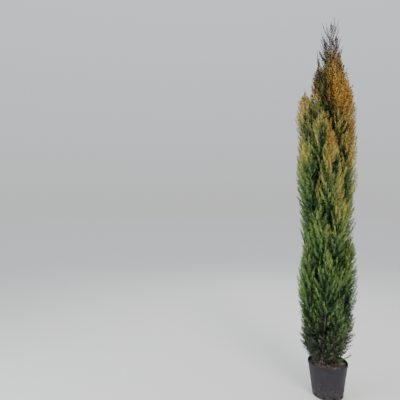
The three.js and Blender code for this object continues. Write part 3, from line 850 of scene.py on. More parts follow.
# How much lighter or darker single branches and whole plumes are.
BRANCH_TONE = 0.16
PLUME_TINT = 0.12
SPRAY_EDGE = 1.35
# One branch in so many is a leading shoot: straighter, longer, lighter, and free to leave the plume's space.
LEADING_EVERY = 5
LEADING_OPENING = 0.75
LEADING_LENGTH = 1.35
LEADING_OWN_EDGE = 1.3
LEADING_SHARED_EDGE = 1.6
LEADING_SPRAY_EDGE = 1.5
LEADING_TONE = 0.15
# The limb's own end is the last branch. The plume narrows to a point there, so its sprays may leave it.
LIMB_END_SHARE = 0.9
LIMB_END_TONE = 0.2
LIMB_END_EDGE = 4.0


@dataclass
class Branches:
    """Branches as rows of points, and for each its place up the plume, its length, its tone, how far out of
    the plume's space its sprays may reach, and the plume's tint."""

    paths: np.ndarray
    shares: np.ndarray
    lengths: np.ndarray
    tones: np.ndarray
    edges: np.ndarray
    tints: np.ndarray


def bent_paths(along, out, opening, length, rng):
    """Paths from the origin that leave `along` by an angle and bend back towards it, with a slight wave."""
    count = len(length)
    middle = (np.arange(BRANCH_STEPS) + 0.5) / BRANCH_STEPS
    angle = opening[:, None] * (BEND_AT_ROOT - BEND_LOST * middle)[None]
    steps = turned(along[:, None], out[:, None], angle)
    wave = BRANCH_WAVE * np.sin(np.pi * (2 * middle[None] + 2 * rng.random((count, 1))))
    steps = steps + wave[..., None] * np.cross(along, out)[:, None]
    ways = np.concatenate([np.zeros((count, 1, 3)), np.cumsum(steps, 1)], 1)
    return ways * (length / BRANCH_STEPS)[:, None, None]


def grown_branches(limb, finer):
    """A plume's branches. One that would leave the plume's space is tried shorter, and then skipped."""
    rng = np.random.default_rng(limb.seed)
    count = round(limb.tier.sprays * finer)
    k = np.arange(count)
    leads = k % LEADING_EVERY == 0
    share = BRANCHES_FROM + BRANCHES_RANGE * (k + BRANCH_PLACE_VARIES * rng.random(count)) / count
    along = limb.direction(limb.within(share))
    sweep = BRANCH_SWEEP * (2 * ((k * GOLDEN_SHARE) % 1) - 1)
    turn = np.pi / 2 + sweep + offsets(rng, count, BRANCH_TURN_VARIES)
    out = turned(limb.sideways, np.cross(limb.sideways, along), turn)
    opening = lerp(BRANCH_FLATTEST, BRANCH_STEEPEST, share) + offsets(rng, count, BRANCH_OPENING_VARIES)
    shortest = min(BRANCH_SHORTEST, BRANCH_LEAST_GIRTHS * limb.girth)
    aim = np.minimum(BRANCH_AIM_HIGHEST, share + BRANCH_AHEAD)
    wanted = BRANCH_AIM * limb.plume_radius(aim) / np.sin(opening)
    wanted *= BRANCH_LENGTH_LEAST + BRANCH_LENGTH_VARIES * rng.random(count)
    length = np.clip(wanted, shortest, BRANCH_LONGEST)
    opening = np.where(leads, LEADING_OPENING * opening, opening)
    length = np.where(leads, LEADING_LENGTH * length, length)
    ways = bent_paths(along, out, opening, length, rng)
    roots = limb.point(limb.within(share))
    best = np.zeros(count)
    own_edge = np.where(leads, LEADING_OWN_EDGE, OWN_EDGE)
    shared_edge = np.where(leads, LEADING_SHARED_EDGE, SHARED_EDGE)
    for cut in BRANCH_CUTS:
        inside = np.ones(count, bool)
        for at in (BRANCH_STEPS // 2, BRANCH_STEPS):
            inside &= CROWN.own_space(roots + cut * ways[:, at], limb, own_edge, shared_edge)
        best[inside] = cut
    kept = best > 0
    paths = roots[kept][:, None] + best[kept][:, None, None] * ways[kept]
    tones = BRANCH_TONE * rng.standard_normal(count) + np.where(leads, LEADING_TONE, 0)
    edges = np.where(leads, LEADING_SPRAY_EDGE, SPRAY_EDGE)
    end = limb.point(limb.within(lerp(limb.tier.end_shoot, 1.0, np.linspace(0, 1, BRANCH_STEPS + 1))))
    return Branches(
        np.concatenate([paths, [end]]),
        np.append(share[kept], LIMB_END_SHARE),
        np.append((best * length)[kept], np.linalg.norm(end[-1] - end[0])),
        np.append(tones[kept], LIMB_END_TONE),
        np.append(edges[kept], LIMB_END_EDGE),
        np.full(kept.sum() + 1, PLUME_TINT * (rng.random() - 0.5)),
    )


# The foot of the trunk shows from the front through a gap in what grows before it.
WINDOW_HEIGHT = 0.5
WINDOW_HALF_WIDTH = 0.028
WINDOW_MIDDLE = -0.004
WINDOW_BACK = 0.02
# The foot of the crown spreads over the container's rim: the middle and the radius of that circle.
FOOT_MIDDLE = (0.02, 0.0)
FOOT_RADIUS = 0.185


def reach_over_rim(roots, out):
    """How far it is from each root, level along `out`, to the edge of the circle over the container's rim."""
    off = (roots - [*FOOT_MIDDLE, 0])[:, :2]
    along = (off * out[:, :2]).sum(1)
    return np.sqrt(along**2 - (off**2).sum(1) + FOOT_RADIUS**2) - along


# How much the places, turns, openings and lengths of the branches from the trunk vary, the lengths up from
# their least.
SHOOT_PLACE_VARIES = 0.6
SHOOT_TURN_VARIES = 0.5
SHOOT_OPENING_VARIES = 0.3
SHOOT_LENGTH_LEAST = 0.75
SHOOT_LENGTH_VARIES = 0.35


def spiral_places(low, high, count, rng, crowded_foot):
    """Places up the trunk from one height to another: shares of that way, heights and azimuths."""
    share = (np.arange(count) + SHOOT_PLACE_VARIES * rng.random(count)) / count
    turn = GOLDEN_ANGLE * np.arange(count) + SHOOT_TURN_VARIES * rng.random(count)
    return share, lerp(low, high, share**crowded_foot), turn


# How many shoots go to a square metre of a tuft, how much of it they fill, how far under it they leave the
# trunk, by the crown's radius, and how low at most, and their place between the openings.
TUFT_SHOOTS = 850
TUFT_FILLED = 0.8
TUFT_DROP = 0.85
TUFT_LOWEST = 0.03
TUFT_SHARE = 0.55


def tuft_places(rng):
    """Places on the trunk for the shoots that end in the tufts, in the same way."""
    places = []
    for middle, azimuth, half_height, half_width in TUFTS + THICKETS:
        count = round(TUFT_SHOOTS * half_height * half_width)
        radius = np.interp(middle, *CROWN.outline)
        high, wide = TUFT_FILLED * half_height, TUFT_FILLED * half_width / radius
        height = middle - TUFT_DROP * radius + high * (2 * rng.random(count) - 1)
        turn = math.radians(azimuth) + wide * (2 * rng.random(count) - 1)
        places.append([np.full(count, TUFT_SHARE), np.maximum(TUFT_LOWEST, height), turn])
    return np.concatenate(places, 1)


# A branch from the trunk aims at the crown's outline this far over its root, needs room for this many times
# its length, and is shortened to this share at most.
SHOOT_RISE = 0.12
SHOOT_MARGIN = 1.1
SHOOT_SHORTEST = 0.5


def trunk_branches(places, openings, spread, rng, over_rim):
    """Branches straight from the trunk, which reach a share of the crown's outline, or of the way over the
    container's rim."""
    share, height, turn = places
    count = len(share)
    out = round_z(turn)
    opening = lerp(*openings, share) * factors(rng, count, SHOOT_OPENING_VARIES)
    roots = trunk_point(height)
    reach = reach_over_rim(roots, out) if over_rim else np.interp(height + SHOOT_RISE, *CROWN.outline)
    length = spread * reach / np.sin(opening)
    length *= SHOOT_LENGTH_LEAST + SHOOT_LENGTH_VARIES * rng.random(count)
    ways = bent_paths(np.tile(UP, (count, 1)), out, opening, length, rng)
    best = np.full(count, 1.0 if over_rim else SHOOT_SHORTEST)
    for cut in () if over_rim else BRANCH_CUTS:
        best[CROWN.has_room(roots + SHOOT_MARGIN * cut * ways[:, -1])] = cut
    paths = roots[:, None] + best[:, None, None] * ways
    tones = BRANCH_TONE * rng.standard_normal(count)
    return Branches(paths, share, best * length, tones, np.ones(count), np.zeros(count))


@dataclass
class Sprays:
    """Points that each bear a spray, with its direction, its length and what its colour goes by."""

    roots: np.ndarray
    headings: np.ndarray
    sizes: np.ndarray
    up_plume: np.ndarray
    up_branch: np.ndarray
    tones: np.ndarray
    edges: np.ndarray
    tints: np.ndarray

    def only(self, kept):
        return Sprays(*(values[kept] for values in vars(self).values()))

    def tips(self):
        return self.roots + self.sizes[:, None] * self.headings


def within_reach(points):
    """Which points keep inside the box of the solids."""
    low, high = np.array(CAD_BOX)
    return ((points > low) & (points < high)).all(1)


def within_crown(points):
    """Which points keep inside that box and the crown's outline, and out of the hollows."""
    return within_reach(points) & CROWN.has_room(points)


def cut_back(paths, within):
    """Branch paths that each end where they first leave the space that `within` allows."""
    paths = np.asarray(paths)
    inside = within(paths.reshape(-1, 3)).reshape(paths.shape[:2])
    last = np.maximum(1, inside.cumprod(1).sum(1) - 1)
    place = last[:, None] * np.linspace(0, 1, BRANCH_STEPS + 1)
    low = np.minimum(place.astype(int), BRANCH_STEPS - 1)
    rows = np.arange(len(paths))[:, None]
    starts, stops = paths[rows, low], paths[rows, low + 1]
    return list(starts + (place - low)[..., None] * (stops - starts))


def above_soil(points):
    return points[:, 2] > SOIL_TOP + SOIL_CROWN + SOIL_CLEARANCE


def before_trunk(points):
    """Which points hide the foot of the trunk from the front, where it shows between thin branches."""
    height, off = from_trunk(points)
    in_width = np.abs(off[:, 0] - WINDOW_MIDDLE) < WINDOW_HALF_WIDTH
    return in_width & (off[:, 1] < WINDOW_BACK) & (height < WINDOW_HEIGHT)


@dataclass
class Growth:
    """What becomes one piece of twigs and a few of leaves."""

    name: str
    slot: str
    paths: list
    sprays: Sprays
    nodes: tuple = ()
    # For the withered growth inside the crown, its one colour.
    colour: str = ""


# The sprays of a branch: how few at least, from where and over how much of it, how far they lean and how long
# they are from its root to its tip, and their length at most, as a share of its own.
FEWEST_ON_BRANCH = 3
SPRAYS_FROM = 0.08
SPRAYS_RANGE = 0.84
SPRAYS_TO = 0.96
SPRAY_LEANS = (0.64, 0.22)
SPRAY_LENGTHS = (1.05, 0.5)
SPRAY_LONGEST_SHARE = 0.45
# How much the places, turns, leans and lengths of the sprays vary.
SPRAY_PLACE_VARIES = 0.7
SPRAY_TURN_VARIES = 0.5
SPRAY_LEAN_VARIES = 0.5
SPRAY_LENGTH_VARIES = 0.4
# The spray at a branch's tip.
END_SPRAY_ROOT = 0.9
END_SPRAY_LEAN = 0.08
END_SPRAY_LENGTH = 0.8
END_SPRAY_LONGEST_SHARE = 0.4
# How long the sprays on the limbs' own ends are, as a share of the others, but for the slimmest plumes.
LIMB_END_LENGTH = 0.6


def grown_sprays(branches, spacing, longest, rng):
    """Sprays set round each branch by the golden angle, shorter towards its tip, and one at the tip."""
    counts = np.maximum(FEWEST_ON_BRANCH, np.round(branches.lengths / spacing)).astype(int)
    count = len(counts)
    owner = np.concatenate([np.repeat(np.arange(count), counts), np.arange(count)])
    j = np.concatenate([np.concatenate([np.arange(n) for n in counts]), counts])
    ends = np.arange(len(owner)) >= counts.sum()
    branch = branches.lengths[owner]
    t = SPRAYS_FROM + SPRAYS_RANGE * (j + SPRAY_PLACE_VARIES * rng.random(len(owner))) / counts[owner]
    t = np.where(ends, END_SPRAY_ROOT, np.minimum(t, SPRAYS_TO))
    place = t * BRANCH_STEPS
    low = place.astype(int)
    starts, stops = branches.paths[owner, low], branches.paths[owner, low + 1]
    roots = starts + (place - low)[:, None] * (stops - starts)
    ahead = unit(stops - starts)
    first = 2 * np.pi * rng.random(count)
    turn = GOLDEN_ANGLE * j + first[owner] + SPRAY_TURN_VARIES * rng.random(len(owner))
    lean = lerp(*SPRAY_LEANS, t) * factors(rng, len(owner), SPRAY_LEAN_VARIES)
    lean = np.where(ends, END_SPRAY_LEAN, lean)
    headings = turned(ahead, turned(*square_to(ahead), turn), lean)
    sizes = np.minimum(longest, SPRAY_LONGEST_SHARE * branch) * lerp(*SPRAY_LENGTHS, t)
    sizes = sizes * factors(rng, len(owner), SPRAY_LENGTH_VARIES)
    sizes = np.where(ends, np.minimum(END_SPRAY_LENGTH * longest, END_SPRAY_LONGEST_SHARE * branch), sizes)
    sizes = np.where(branches.edges[owner] > LIMB_END_EDGE - 1, LIMB_END_LENGTH, 1) * sizes
    given = (values[owner] for values in (branches.tones, branches.edges, branches.tints))
    return Sprays(roots, headings, sizes, branches.shares[owner], t, *given)


# The crown's density is counted in cells, and a spray's light is what gets past them along a few ways, in
# steps of a cell: how far each way turns aside and rises, and how much it counts.
CELL = 0.03
LEAF_AREA_SHARE = 0.112
LIGHT_LOSS = 0.7
LIGHT_STEPS = range(1, 11)
LIGHT_START = 0.3
LIGHT_WAYS = (
    (0.0, 0.0, 1.0), (0.9, 0.1, 0.8), (-0.9, 0.1, 0.8), (0.4, 0.8, 0.8), (-0.4, 0.8, 0.8), (0.0, 1.8, 0.6),
)
# Patches of the crown are a little lighter or darker, and about this many of them go to a metre.
PATCH_SCALE = 8


def outwards(off):
    """The level directions of some offsets from the trunk's middle."""
    return unit(off * [1, 1, 0] + 1e-6)


def light_at(points, sizes):
    """How much light reaches each spray from the sides and above, from 0 to 1."""
    low = points.min(0) - CELL
    shape = tuple(((points.max(0) - low) / CELL).astype(int) + 2)
    cover = np.zeros(shape)
    np.add.at(cover, tuple(((points - low) / CELL).astype(int).T), LEAF_AREA_SHARE * (sizes / CELL) ** 2)
    radial = outwards(from_trunk(points)[1])
    aside = np.cross(UP, radial)
    light, total = 0, 0
    for turn, rise, weight in LIGHT_WAYS:
        way = unit(radial + turn * aside + rise * UP)
        blocked = 0
        for step in LIGHT_STEPS:
            at = ((points + (LIGHT_START + step) * CELL * way - low) / CELL).astype(int)
            inside = ((at >= 0) & (at < shape)).all(1)
            at = np.clip(at, 0, np.array(shape) - 1)
            blocked = blocked + np.where(inside, cover[tuple(at.T)], 0)
        light = light + weight * np.exp(-LIGHT_LOSS * blocked)
        total += weight
    return light / total


def dealt_colours(sprays, light, seed):
    """The hue and tone of each spray: green low down and in the shade, gold at the top and in the light. The
    tone is painted light and shade.
    """
    rng = np.random.default_rng(seed)
    count = len(light)
    height, off = from_trunk(sprays.roots)
    facing = outwards(off) @ [math.cos(SHADED_SIDE), math.sin(SHADED_SIDE), 0]
    aside = np.clip(SHADED_SIDE_SHARPNESS * (SHADED_SIDE_EDGE - facing), -1, 1)
    patches = np.array([noise.noise(Vector(root) * PATCH_SCALE) for root in sprays.roots])
    tuft = np.maximum(0, CROWN.depth_in(TUFTS, sprays.roots)) ** 0.5
    hollow_shade = np.maximum(0, CROWN.depth_in(HOLLOWS, sprays.roots) + HOLLOW_MARGIN)
    up_plume, up_branch = sprays.up_plume - 0.5, sprays.up_branch - 0.5
    gold = at_height(height, GOLD_AT_HEIGHT) + sprays.tints
    gold += GOLD_BY["up_plume"] * np.minimum(1, height) * up_plume + GOLD_BY["up_branch"] * up_branch
    gold += GOLD_BY["hollow_shade"] * hollow_shade + GOLD_BY["tuft"] * height * tuft
    gold += GOLD_BY["light"] * (light - MIDDLE_LIGHT) + GOLD_BY["branch"] * sprays.tones
    gold += GOLD_BY["patch"] * patches + GOLD_BY["chance"] * rng.standard_normal(count)
    gold += at_height(height, SIDE_GOLD_AT_HEIGHT) * aside
    hue = np.clip(gold * GOLDEN_HUES, 0, GOLDEN_HUES - 1).astype(int)
    hue = np.clip(hue, *np.percentile(hue, HUE_PERCENTILES).round().astype(int))
    bronze = at_height(height, BRONZE_AT_HEIGHT)
    bronze *= lerp(at_height(CROWN.outerness(sprays.roots), BRONZE_OUTWARDS), 1, bronze)
    hue[rng.random(count) < bronze] = HUES.index("bronze")
    hue[rng.random(count) < at_height(height, DULL_AT_HEIGHT)] = HUES.index("dull")
    # The painted lightness, which picks the tone: the light that reaches a spray, its place up the plume and
    # the branch, the hollows, the foot, the shaded side and the tufts paint it lighter and darker, as light
    # and shade; its branch, patches and chance vary it at random.
    bright = light + sprays.tones + at_height(height, SHADE_AT_HEIGHT) + LIGHT_BY["hollow_shade"] * hollow_shade
    bright += LIGHT_BY["up_plume"] * up_plume + LIGHT_BY["up_branch"] * up_branch
    bright += LIGHT_BY["patch"] * patches + LIGHT_BY["chance"] * rng.standard_normal(count)
    bright += at_height(height, SIDE_LIGHT_AT_HEIGHT) * aside + at_height(height, TUFT_LIGHT_AT_HEIGHT) * tuft
    tone = (bright[:, None] < PAINTED_LIGHT_EDGES).sum(1)
    dull = hue == HUES.index("dull")
    tone[dull] = list(TONES).index("light")
    key = hue * len(TONES) + tone
    rare = np.bincount(key)[key] < FEWEST_SPRAYS
    tone[rare & ~dull] = list(TONES).index("plain")
    return hue, tone


def size_property(name, description, default, **more):
    return FloatProperty(name=name, description=description, default=default, **more)


def colour_property(name, description, default):
    look = {"subtype": "COLOR", "min": 0, "max": 1}
    return FloatVectorProperty(name=name, description=description, default=default, **look)


class CypressSizes(PropertyGroup):
    finer: size_property("Branches per spray", "How many branches stand for one spray of the solids", 5.0)
    spacing: size_property("Spray spacing", "Distance from spray to spray", 0.0098, unit="LENGTH")
    spray_length: size_property("Spray length", "Length of the longest spray", 0.048, unit="LENGTH")
    leaf_width: size_property("Leaf width", "Width of a leaf as a share of its spray's length", 0.13)
    leaves: IntProperty(name="Leaves per spray", description="Leaves round a spray's stem", default=7)
    bark_relief: size_property("Bark relief", "Depth of the bark's ridges as a share of the radius", 0.55)
    widened: size_property("Framing", "Focal length as a share of the photograph's, to show it all", 0.86)


class CypressColours(PropertyGroup):
    green: colour_property("Green", "Leaves at the foot of the crown", (0.1, 0.212, 0.064))
    lime: colour_property("Lime", "Leaves of the lower crown", (0.165, 0.28, 0.078))
    straw: colour_property("Straw", "Leaves half way up", (0.28, 0.325, 0.09))
    gold: colour_property("Gold", "Leaves of the upper crown", (0.44, 0.35, 0.098))
    amber: colour_property("Amber", "Leaves at the top", (0.335, 0.2, 0.037))
    bronze: colour_property("Bronze", "Young shoots at the very top", (0.062, 0.047, 0.042))
    # The darkness of the shade colour is painted shade, which every leaf colour's darker tones are mixed
    # towards; its deep green is the inner leaves' own.
    shade: colour_property("Shade", "Leaves deep inside the crown", (0.008, 0.036, 0.013))
    dry: colour_property("Dry", "Withered leaves inside the crown", (0.05, 0.047, 0.03))
    dull: colour_property("Dull", "Dull leaves at the foot of the crown", (0.11, 0.11, 0.088))
    bark: colour_property("Bark", "Ridges of the bark", (0.46, 0.44, 0.39))
    furrow: colour_property("Furrow", "Furrows of the bark", (0.1, 0.085, 0.072))
    weathered: colour_property("Weathered bark", "Grey weathering on the bark", (0.5, 0.49, 0.46))
    twig: colour_property("Twig", "Young woody twigs", (0.085, 0.062, 0.042))
    plastic: colour_property("Plastic", "The container under its dust", (0.011, 0.01, 0.013))
    dust: colour_property("Dust", "Dust on the container", (0.034, 0.03, 0.039))
    mud: colour_property("Mud", "Dried splashes on the container", (0.055, 0.045, 0.043))
    damp_soil: colour_property("Damp soil", "The soil where it is damp", (0.035, 0.025, 0.02))
    dry_soil: colour_property("Dry soil", "The soil where it has dried", (0.15, 0.12, 0.112))
    litter: colour_property("Litter", "Dry sprays that lie on the soil", (0.17, 0.1, 0.045))
    floor: colour_property("Floor", "The studio floor", (0.8, 0.79, 0.775))


def sizes():
    return bpy.context.scene.cypress_sizes


def colours():
    return bpy.context.scene.cypress_colours


def colour_of(name, amount=1):
    return tinted(getattr(colours(), name), amount)


def placed(piece, nodes=()):
    """Fixes a finished piece to the plant's one body and hides the nodes that it stands for."""
    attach(piece, "root")
    if nodes:
        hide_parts(*nodes)


def shown(name, mesh, material):
    mesh.materials.append(material)
    thing = bpy.data.objects.new(name, mesh)
    bpy.context.scene.collection.objects.link(thing)
    return thing


class CYPRESS_OT_stage(Operator):
    """Adds the camera at the photograph's eye point, the floor and the soft studio light"""

    bl_idname = "cypress.stage"
    bl_label = "Add the stage"

    # The eye point in front of the plant, how far the level lens is turned away from it, and the photograph's
    # focal length for a 36 mm sensor.
    distance = 3.47
    eye_height = 1.76
    turned_away = math.radians(19.5)
    focal_length = 37.7
    farthest = 100
    floor_radius = 30.0
    floor_sides = 96
    # Each soft light's name, place, diameter, power and colour. All point at the target.
    lights = (
        ("key", (2.6, -3.4, 4.6), 2.4, 190, (1, 0.96, 0.9)),
        ("fill", (-3.6, -2.6, 2.4), 3.0, 92, (0.92, 0.96, 1)),
        ("rim", (-1.5, 3.8, 4.2), 2.4, 90, (1, 0.98, 0.95)),
    )
    lights_target = (0, 0, 1.7)
    # The surround's colour at the horizon, and higher up, from this height of the direction on.
    horizon = (0.675, 0.68, 0.69, 1)
    sky = (0.86, 0.9, 0.95, 1)
    sky_from = 0.7

    def execute(self, context):
        scene = context.scene
        lens = bpy.data.cameras.new("camera")
        lens.lens = self.focal_length * sizes().widened
        lens.clip_end = self.farthest
        camera = bpy.data.objects.new("camera", lens)
        camera.location = (0, -self.distance, self.eye_height)
        camera.rotation_euler = (math.pi / 2, 0, self.turned_away)
        scene.collection.objects.link(camera)
        scene.camera = camera
        self.add_floor()
        self.add_lights(scene)
        self.add_world(scene)
        return {"FINISHED"}

    def add_floor(self):
        mesh = mesh_from("studio_floor", ring(self.floor_sides, self.floor_radius), [range(self.floor_sides)])
        shown("studio_floor", mesh, floor_paint(colour_of("floor")))

    def add_lights(self, scene):
        for name, place, size, power, colour in self.lights:
            lamp = bpy.data.lights.new(name, "AREA")
            lamp.shape = "DISK"
            lamp.size, lamp.energy, lamp.color = size, power, colour
            thing = bpy.data.objects.new(name, lamp)
            thing.location = place
            way = Vector(self.lights_target) - Vector(place)
            thing.rotation_euler = way.to_track_quat("-Z", "Y").to_euler()
            scene.collection.objects.link(thing)

    def add_world(self, scene):
        """An even pale surround, a little brighter overhead."""
        scene.world = bpy.data.worlds.new("studio")
        scene.world.use_nodes = True
        wiring = Wiring(scene.world.node_tree)
        wiring.tree.nodes.clear()
        way = wiring.node("ShaderNodeTexCoord").outputs["Generated"]
        up = wiring.node("ShaderNodeSeparateXYZ", None, {0: way}).outputs["Z"]
        lift = wiring.node("ShaderNodeMapRange", None, {0: up, 1: 0.0, 2: self.sky_from}).outputs[0]
        inputs = {0: lift, 6: self.horizon, 7: self.sky}
        colour = wiring.node("ShaderNodeMix", {"data_type": "RGBA"}, inputs).outputs[2]
        light = wiring.node("ShaderNodeBackground", None, {"Color": colour, "Strength": 1.0}).outputs[0]
        wiring.node("ShaderNodeOutputWorld", None, {"Surface": light})


def lathed(profile, sides, holes):
    """Corners and faces of a profile turned round Z. `holes` pairs an outer and an inner band of it, by their
    lower rows, and says on which sides they are open."""

    def corner(row, side):
        return row * sides + side % sides

    def across(row, other, side):
        """The face between two rows on one side."""
        return corner(row, side), corner(row, side + 1), corner(other, side + 1), corner(other, side)

    def cheek(outer, inner, side):
        """The face at one end of a hole, through the wall."""
        return corner(outer, side), corner(outer + 1, side), corner(inner, side), corner(inner + 1, side)

    corners = np.concatenate([ring(sides, radius, height) for radius, height in profile])
    open_faces = {(row, side) for *rows, open_sides in holes for row in rows for side in open_sides}
    walls = [(row, side) for row in range(len(profile) - 1) for side in range(sides)]
    faces = [across(row, row + 1, side) for row, side in walls if (row, side) not in open_faces]
    for outer, inner, open_sides in holes:
        # The outer wall runs upwards and the inner one downwards, so its rows are met the other way round.
        for side in open_sides:
            faces.append(across(outer, inner + 1, side)[::-1])
            faces.append(across(outer + 1, inner, side))
        faces.append(cheek(outer, inner, open_sides[0])[::-1])
        faces.append(cheek(outer, inner, open_sides[-1] + 1))
    faces.append(tuple(corner(0, side) for side in range(sides))[::-1])
    faces.append(tuple(corner(len(profile) - 1, side) for side in range(sides)))
    return corners, faces


class CYPRESS_OT_container(Operator):
    """Builds the nursery container with its rolled rim, foot ring and drainage holes"""

    bl_idname = "cypress.container"
    bl_label = "Build the container"

    sides = 120
    wall = 0.003
    rim_depth = 0.024
    rim_step = 0.006
    foot_share = 0.766
    hole_bottom, hole_top = 0.016, 0.036
    hole_count, hole_width = 10, 4
    # The floor's height, and the radius at which it and the underside end.
    floor, middle = 0.009, 0.02
    # The roll of the rim, by how far in it is from the rim's edge and how far down from its top.
    rim_roll = (
        (0.0012, 0.007), (0.0002, 0.004), (0.0014, 0.001), (0.0035, 0), (0.0058, 0.001), (0.0066, 0.004),
    )
    sharp_angle = math.radians(35)
    # How high the lower band and the ledge are at which the wall steps out.
    band, ledge = 0.055, 0.2

    def execute(self, context):
        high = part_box("container")[1]
        profile = self.profile(high.x, self.foot_share * high.x, high.z)
        starts = range(0, self.sides, self.sides // self.hole_count)
        outer = next(i for i, (_, z) in enumerate(profile) if z == self.hole_bottom)
        inner = next(i for i, (_, z) in enumerate(profile) if i > outer + 1 and z == self.hole_top)
        holes = [(outer, inner, range(start, start + self.hole_width)) for start in starts]
        mesh = mesh_from("container_shell", *lathed(profile, self.sides, holes))
        mesh.shade_smooth()
        mesh.set_sharp_from_angle(angle=self.sharp_angle)
        paint = plastic_paint(colour_of("plastic"), colour_of("dust"), colour_of("mud"))
        placed(shown("container_shell", mesh, paint), ["container"])
        return {"FINISHED"}

    def profile(self, rim, foot, height):
        """From the middle of the underside, up the outer wall, over the rim and down the inner wall."""
        wall_top = rim - self.rim_step
        under = height - self.rim_depth
        slope = (wall_top - foot) / (under - self.rim_step)
        band, ledge = self.band, self.ledge

        def outer(z):
            return foot + slope * z

        def inner(z):
            return outer(z) - self.wall

        return [
            (self.middle, 0.005),
            (foot - 0.016, 0.005),
            (foot - 0.013, 0.0),
            (foot - 0.004, 0.0),
            (outer(0.003), 0.004),
            *((outer(z), z) for z in (0.012, self.hole_bottom, self.hole_top, band)),
            (outer(band) + 0.0012, band + 0.002),
            (outer(band + 0.008) + 0.0012, band + 0.008),
            *((outer(z), z) for z in (band + 0.01, ledge)),
            (outer(ledge) + 0.0015, ledge + 0.0015),
            (outer(under - 0.007) + 0.0005, under - 0.007),
            (outer(under - 0.006), under - 0.004),
            *((rim - inset, under + z) for inset, z in ((0.0035, 0.001), (0.0008, 0.002), (0.0005, 0.004))),
            *((rim - inset, height - drop) for inset, drop in self.rim_roll),
            (rim - 0.0072, under + 0.006),
            (wall_top - self.wall, under),
            *((inner(z), z) for z in (self.hole_top, self.hole_bottom, self.floor)),
            (self.middle, self.floor),
        ]


